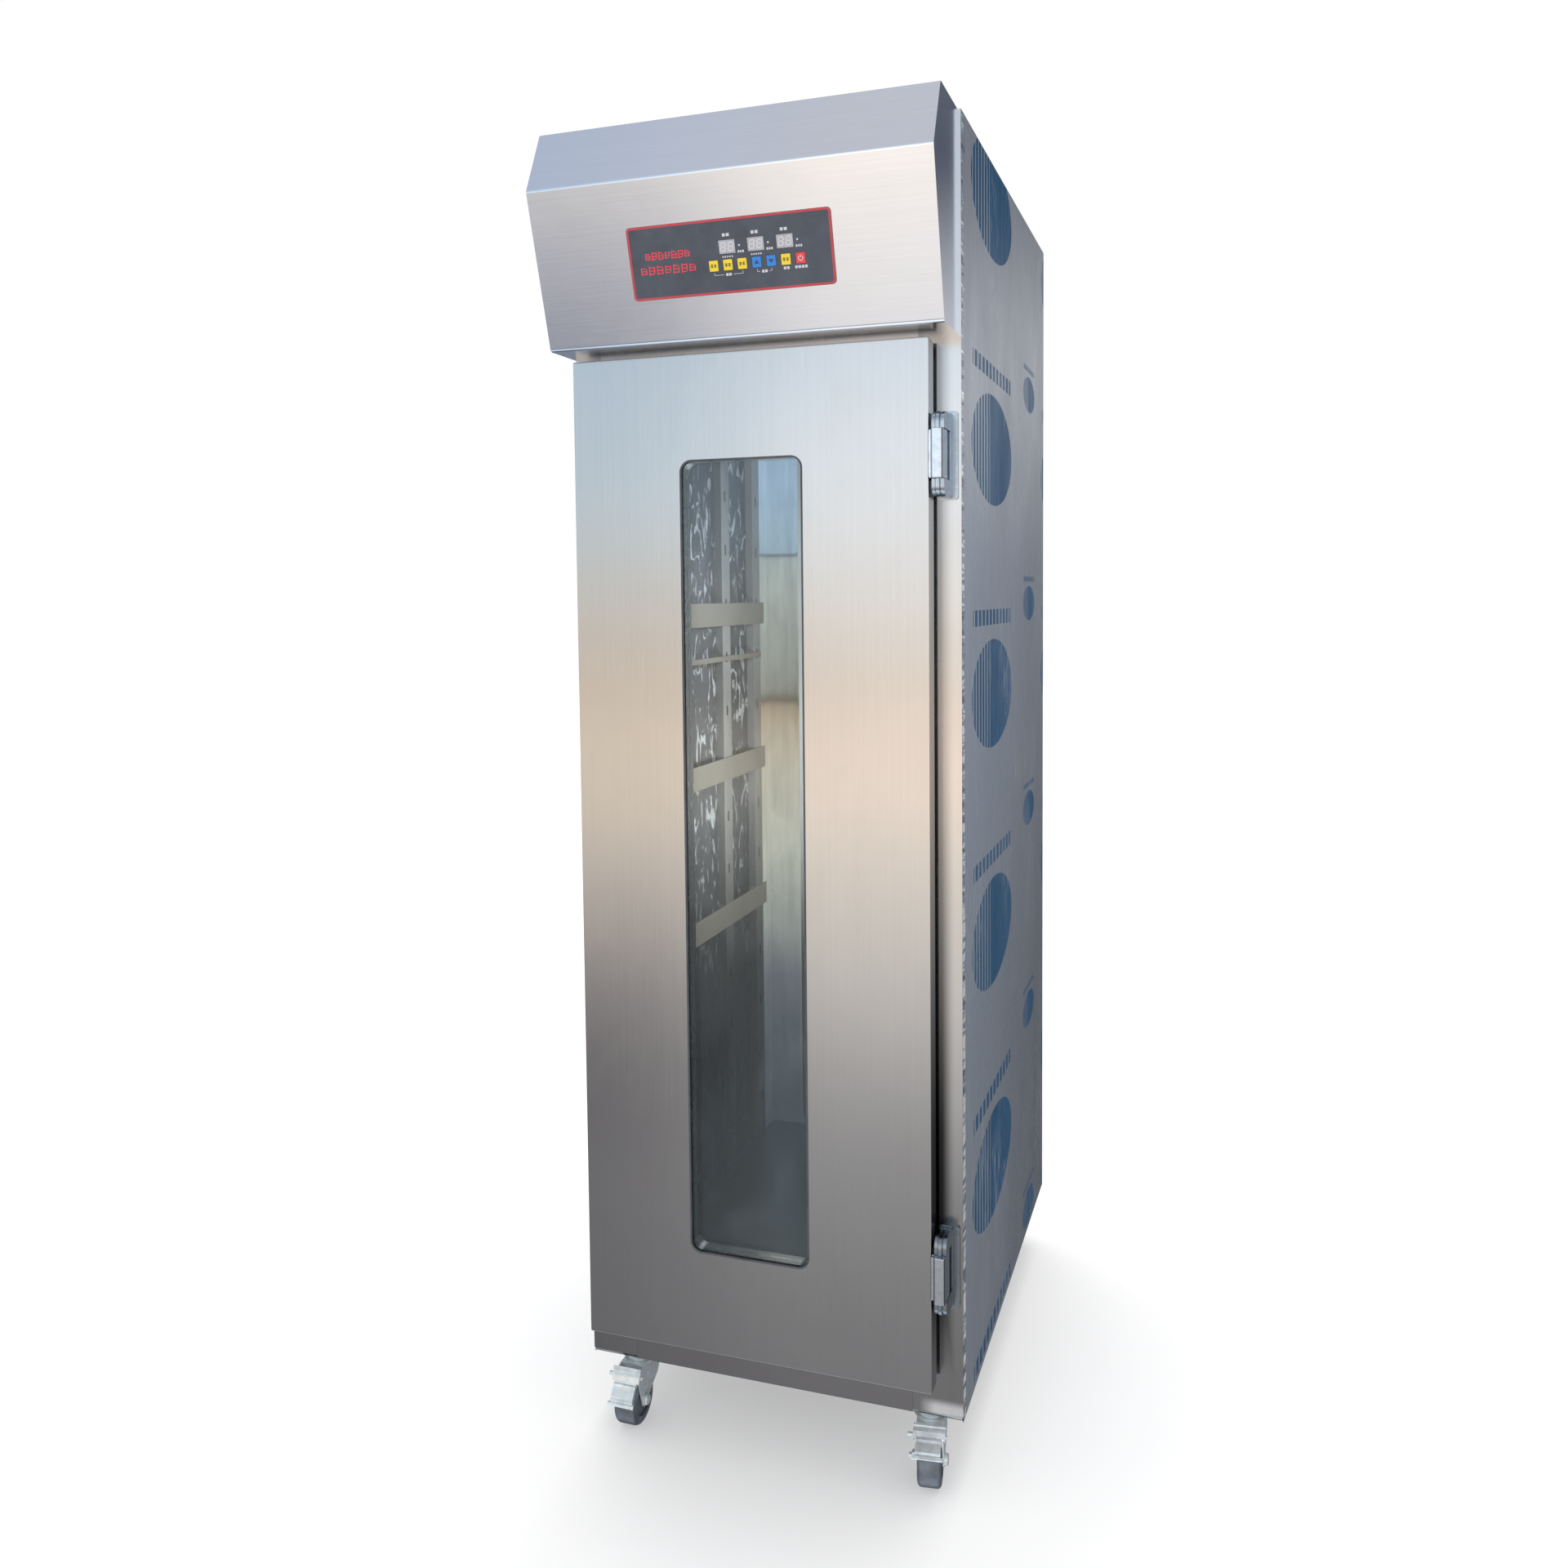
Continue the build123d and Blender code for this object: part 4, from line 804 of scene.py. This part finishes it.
# ---------------------------------------------------------------- light and stage
def add_lamp(name, kind, place, aim, energy, colour, **settings):
    """A lamp at place, turned towards aim, that steel doesn't mirror as a shape."""
    data = bpy.data.lights.new(name, kind)
    data.energy = energy
    data.color = colour
    for key, value in settings.items():
        setattr(data, key, value)
    lamp = bpy.data.objects.new(name, data)
    turn = (Vector(aim) - Vector(place)).to_track_quat("-Z", "Y")
    lamp.matrix_world = Matrix.Translation(place) @ turn.to_matrix().to_4x4()
    lamp.visible_glossy = False
    bpy.context.collection.objects.link(lamp)


FLOOR_MIDDLE = (0, 0, 0)
add_lamp("key", "SUN", (-0.1, 0.7, 3.0), FLOOR_MIDDLE, 1.6, (1.0, 0.99, 0.98), angle=math.radians(35))
for name, height, watts, colour in (("chamber_top", 1.12, 5.0, (0.94, 0.97, 1.0)),
                                    ("chamber_middle", 0.78, 7.0, (1.0, 0.94, 0.86))):
    add_lamp(name, "POINT", (0.02, 0.02, height), FLOOR_MIDDLE, watts, colour, shadow_soft_size=0.05)


MIRROR_GAIN = 1.79        # what the mirrored room's colours are multiplied by
SIDEWAYS_SQUARED = 0.09   # the square of how far a mirrored line goes sideways per metre forwards
GAMMA = 2.2


def paint(red, green, blue):
    """A display colour as the linear light it stands for."""
    return tuple((value / 255) ** GAMMA for value in (red, green, blue))


def add_world():
    """White for the camera, a soft even room for matt surfaces, and a graded room for reflections."""
    world = bpy.data.worlds.new("studio")
    bpy.context.scene.world = world
    world.use_nodes = True
    g = Graph(world.node_tree)
    way = g.node("ShaderNodeSeparateXYZ", {0: g.node("ShaderNodeTexCoord").outputs["Generated"]}).outputs
    height = g.span(way[2], -1, 1)

    def graded(stops):
        """A ramp up the sky; a stop is (rise over run, display colour)."""
        ups = [rise / math.sqrt(1 + SIDEWAYS_SQUARED + rise * rise) for rise, colour in stops]
        return g.ramp(height, [((up + 1) / 2, paint(*colour)) for up, (rise, colour) in zip(ups, stops)])

    bright = graded([
        (-3.0, (205, 212, 218)), (-1.5, (196, 204, 210)), (-0.9, (120, 121, 124)),
        (-0.56, (150, 149, 150)), (-0.43, (182, 181, 181)), (-0.29, (196, 190, 184)),
        (-0.225, (208, 203, 192)), (-0.17, (242, 224, 208)), (-0.105, (252, 226, 208)),
        (-0.085, (206, 190, 170)), (-0.06, (206, 194, 178)), (-0.02, (228, 221, 212)),
        (0.03, (222, 222, 220)), (0.05, (229, 232, 234)), (0.12, (228, 234, 239)),
        (0.19, (205, 216, 226)), (1.4, (148, 151, 157))])
    shaded = graded([
        (-3.0, (190, 197, 204)), (-1.5, (176, 184, 190)), (-0.9, (100, 101, 104)),
        (-0.56, (118, 117, 119)), (-0.43, (132, 131, 134)), (-0.365, (100, 98, 102)),
        (-0.31, (128, 124, 126)), (-0.26, (150, 143, 138)), (-0.20, (186, 179, 168)),
        (-0.16, (210, 196, 178)), (-0.10, (218, 200, 175)), (-0.07, (186, 166, 146)),
        (0.005, (195, 190, 181)), (0.05, (186, 200, 207)), (0.14, (172, 190, 204)),
        (1.4, (149, 152, 159))])
    behind = graded([
        (-3.0, (60, 61, 64)), (-0.3, (92, 96, 102)), (0.0, (118, 123, 132)), (0.17, (158, 160, 164)),
        (0.33, (48, 54, 66)), (1.4, (148, 151, 157))])
    front = g.mix(g.span(way[0], -0.42, -0.29, smooth=True), shaded, bright)
    mirrored = g.mix(g.span(way[1], -0.15, 0.35, smooth=True), front, behind)
    mirrored = g.scaled(mirrored, (MIRROR_GAIN,) * 3)
    ray = g.node("ShaderNodeLightPath").outputs
    colour = g.mix(ray["Is Glossy Ray"], (1.0, 1.0, 1.01), mirrored)
    colour = g.mix(ray["Is Camera Ray"], colour, (1.0, 1.0, 1.0))
    shade = g.node("ShaderNodeBackground", {"Color": colour, "Strength": 1.0})
    g.node("ShaderNodeOutputWorld", {"Surface": shade.outputs[0]})


add_world()


FLOOR_HALF = 14


def add_floor():
    """A plain pale floor, left out of the steel's reflections."""
    mesh = bmesh.new()
    bmesh.ops.create_grid(mesh, x_segments=1, y_segments=1, size=FLOOR_HALF)
    data = bpy.data.meshes.new("floor")
    mesh.to_mesh(data)
    mesh.free()
    made, g = new_material("floor_paint")
    patch = g.noise(g.object_point((2, 2, 2)), 3, 0.5)
    base = g.mix(g.span(patch, 0.3, 0.7), (0.54, 0.54, 0.54), (0.56, 0.56, 0.56))
    g.surface(Base_Color=base, Roughness=0.8, Emission_Color=(1, 1, 1), Emission_Strength=0.37)
    data.materials.append(made)
    floor = bpy.data.objects.new("floor", data)
    floor.visible_glossy = False
    bpy.context.collection.objects.link(floor)


add_floor()
bpy.context.scene.view_settings.view_transform = "Standard"
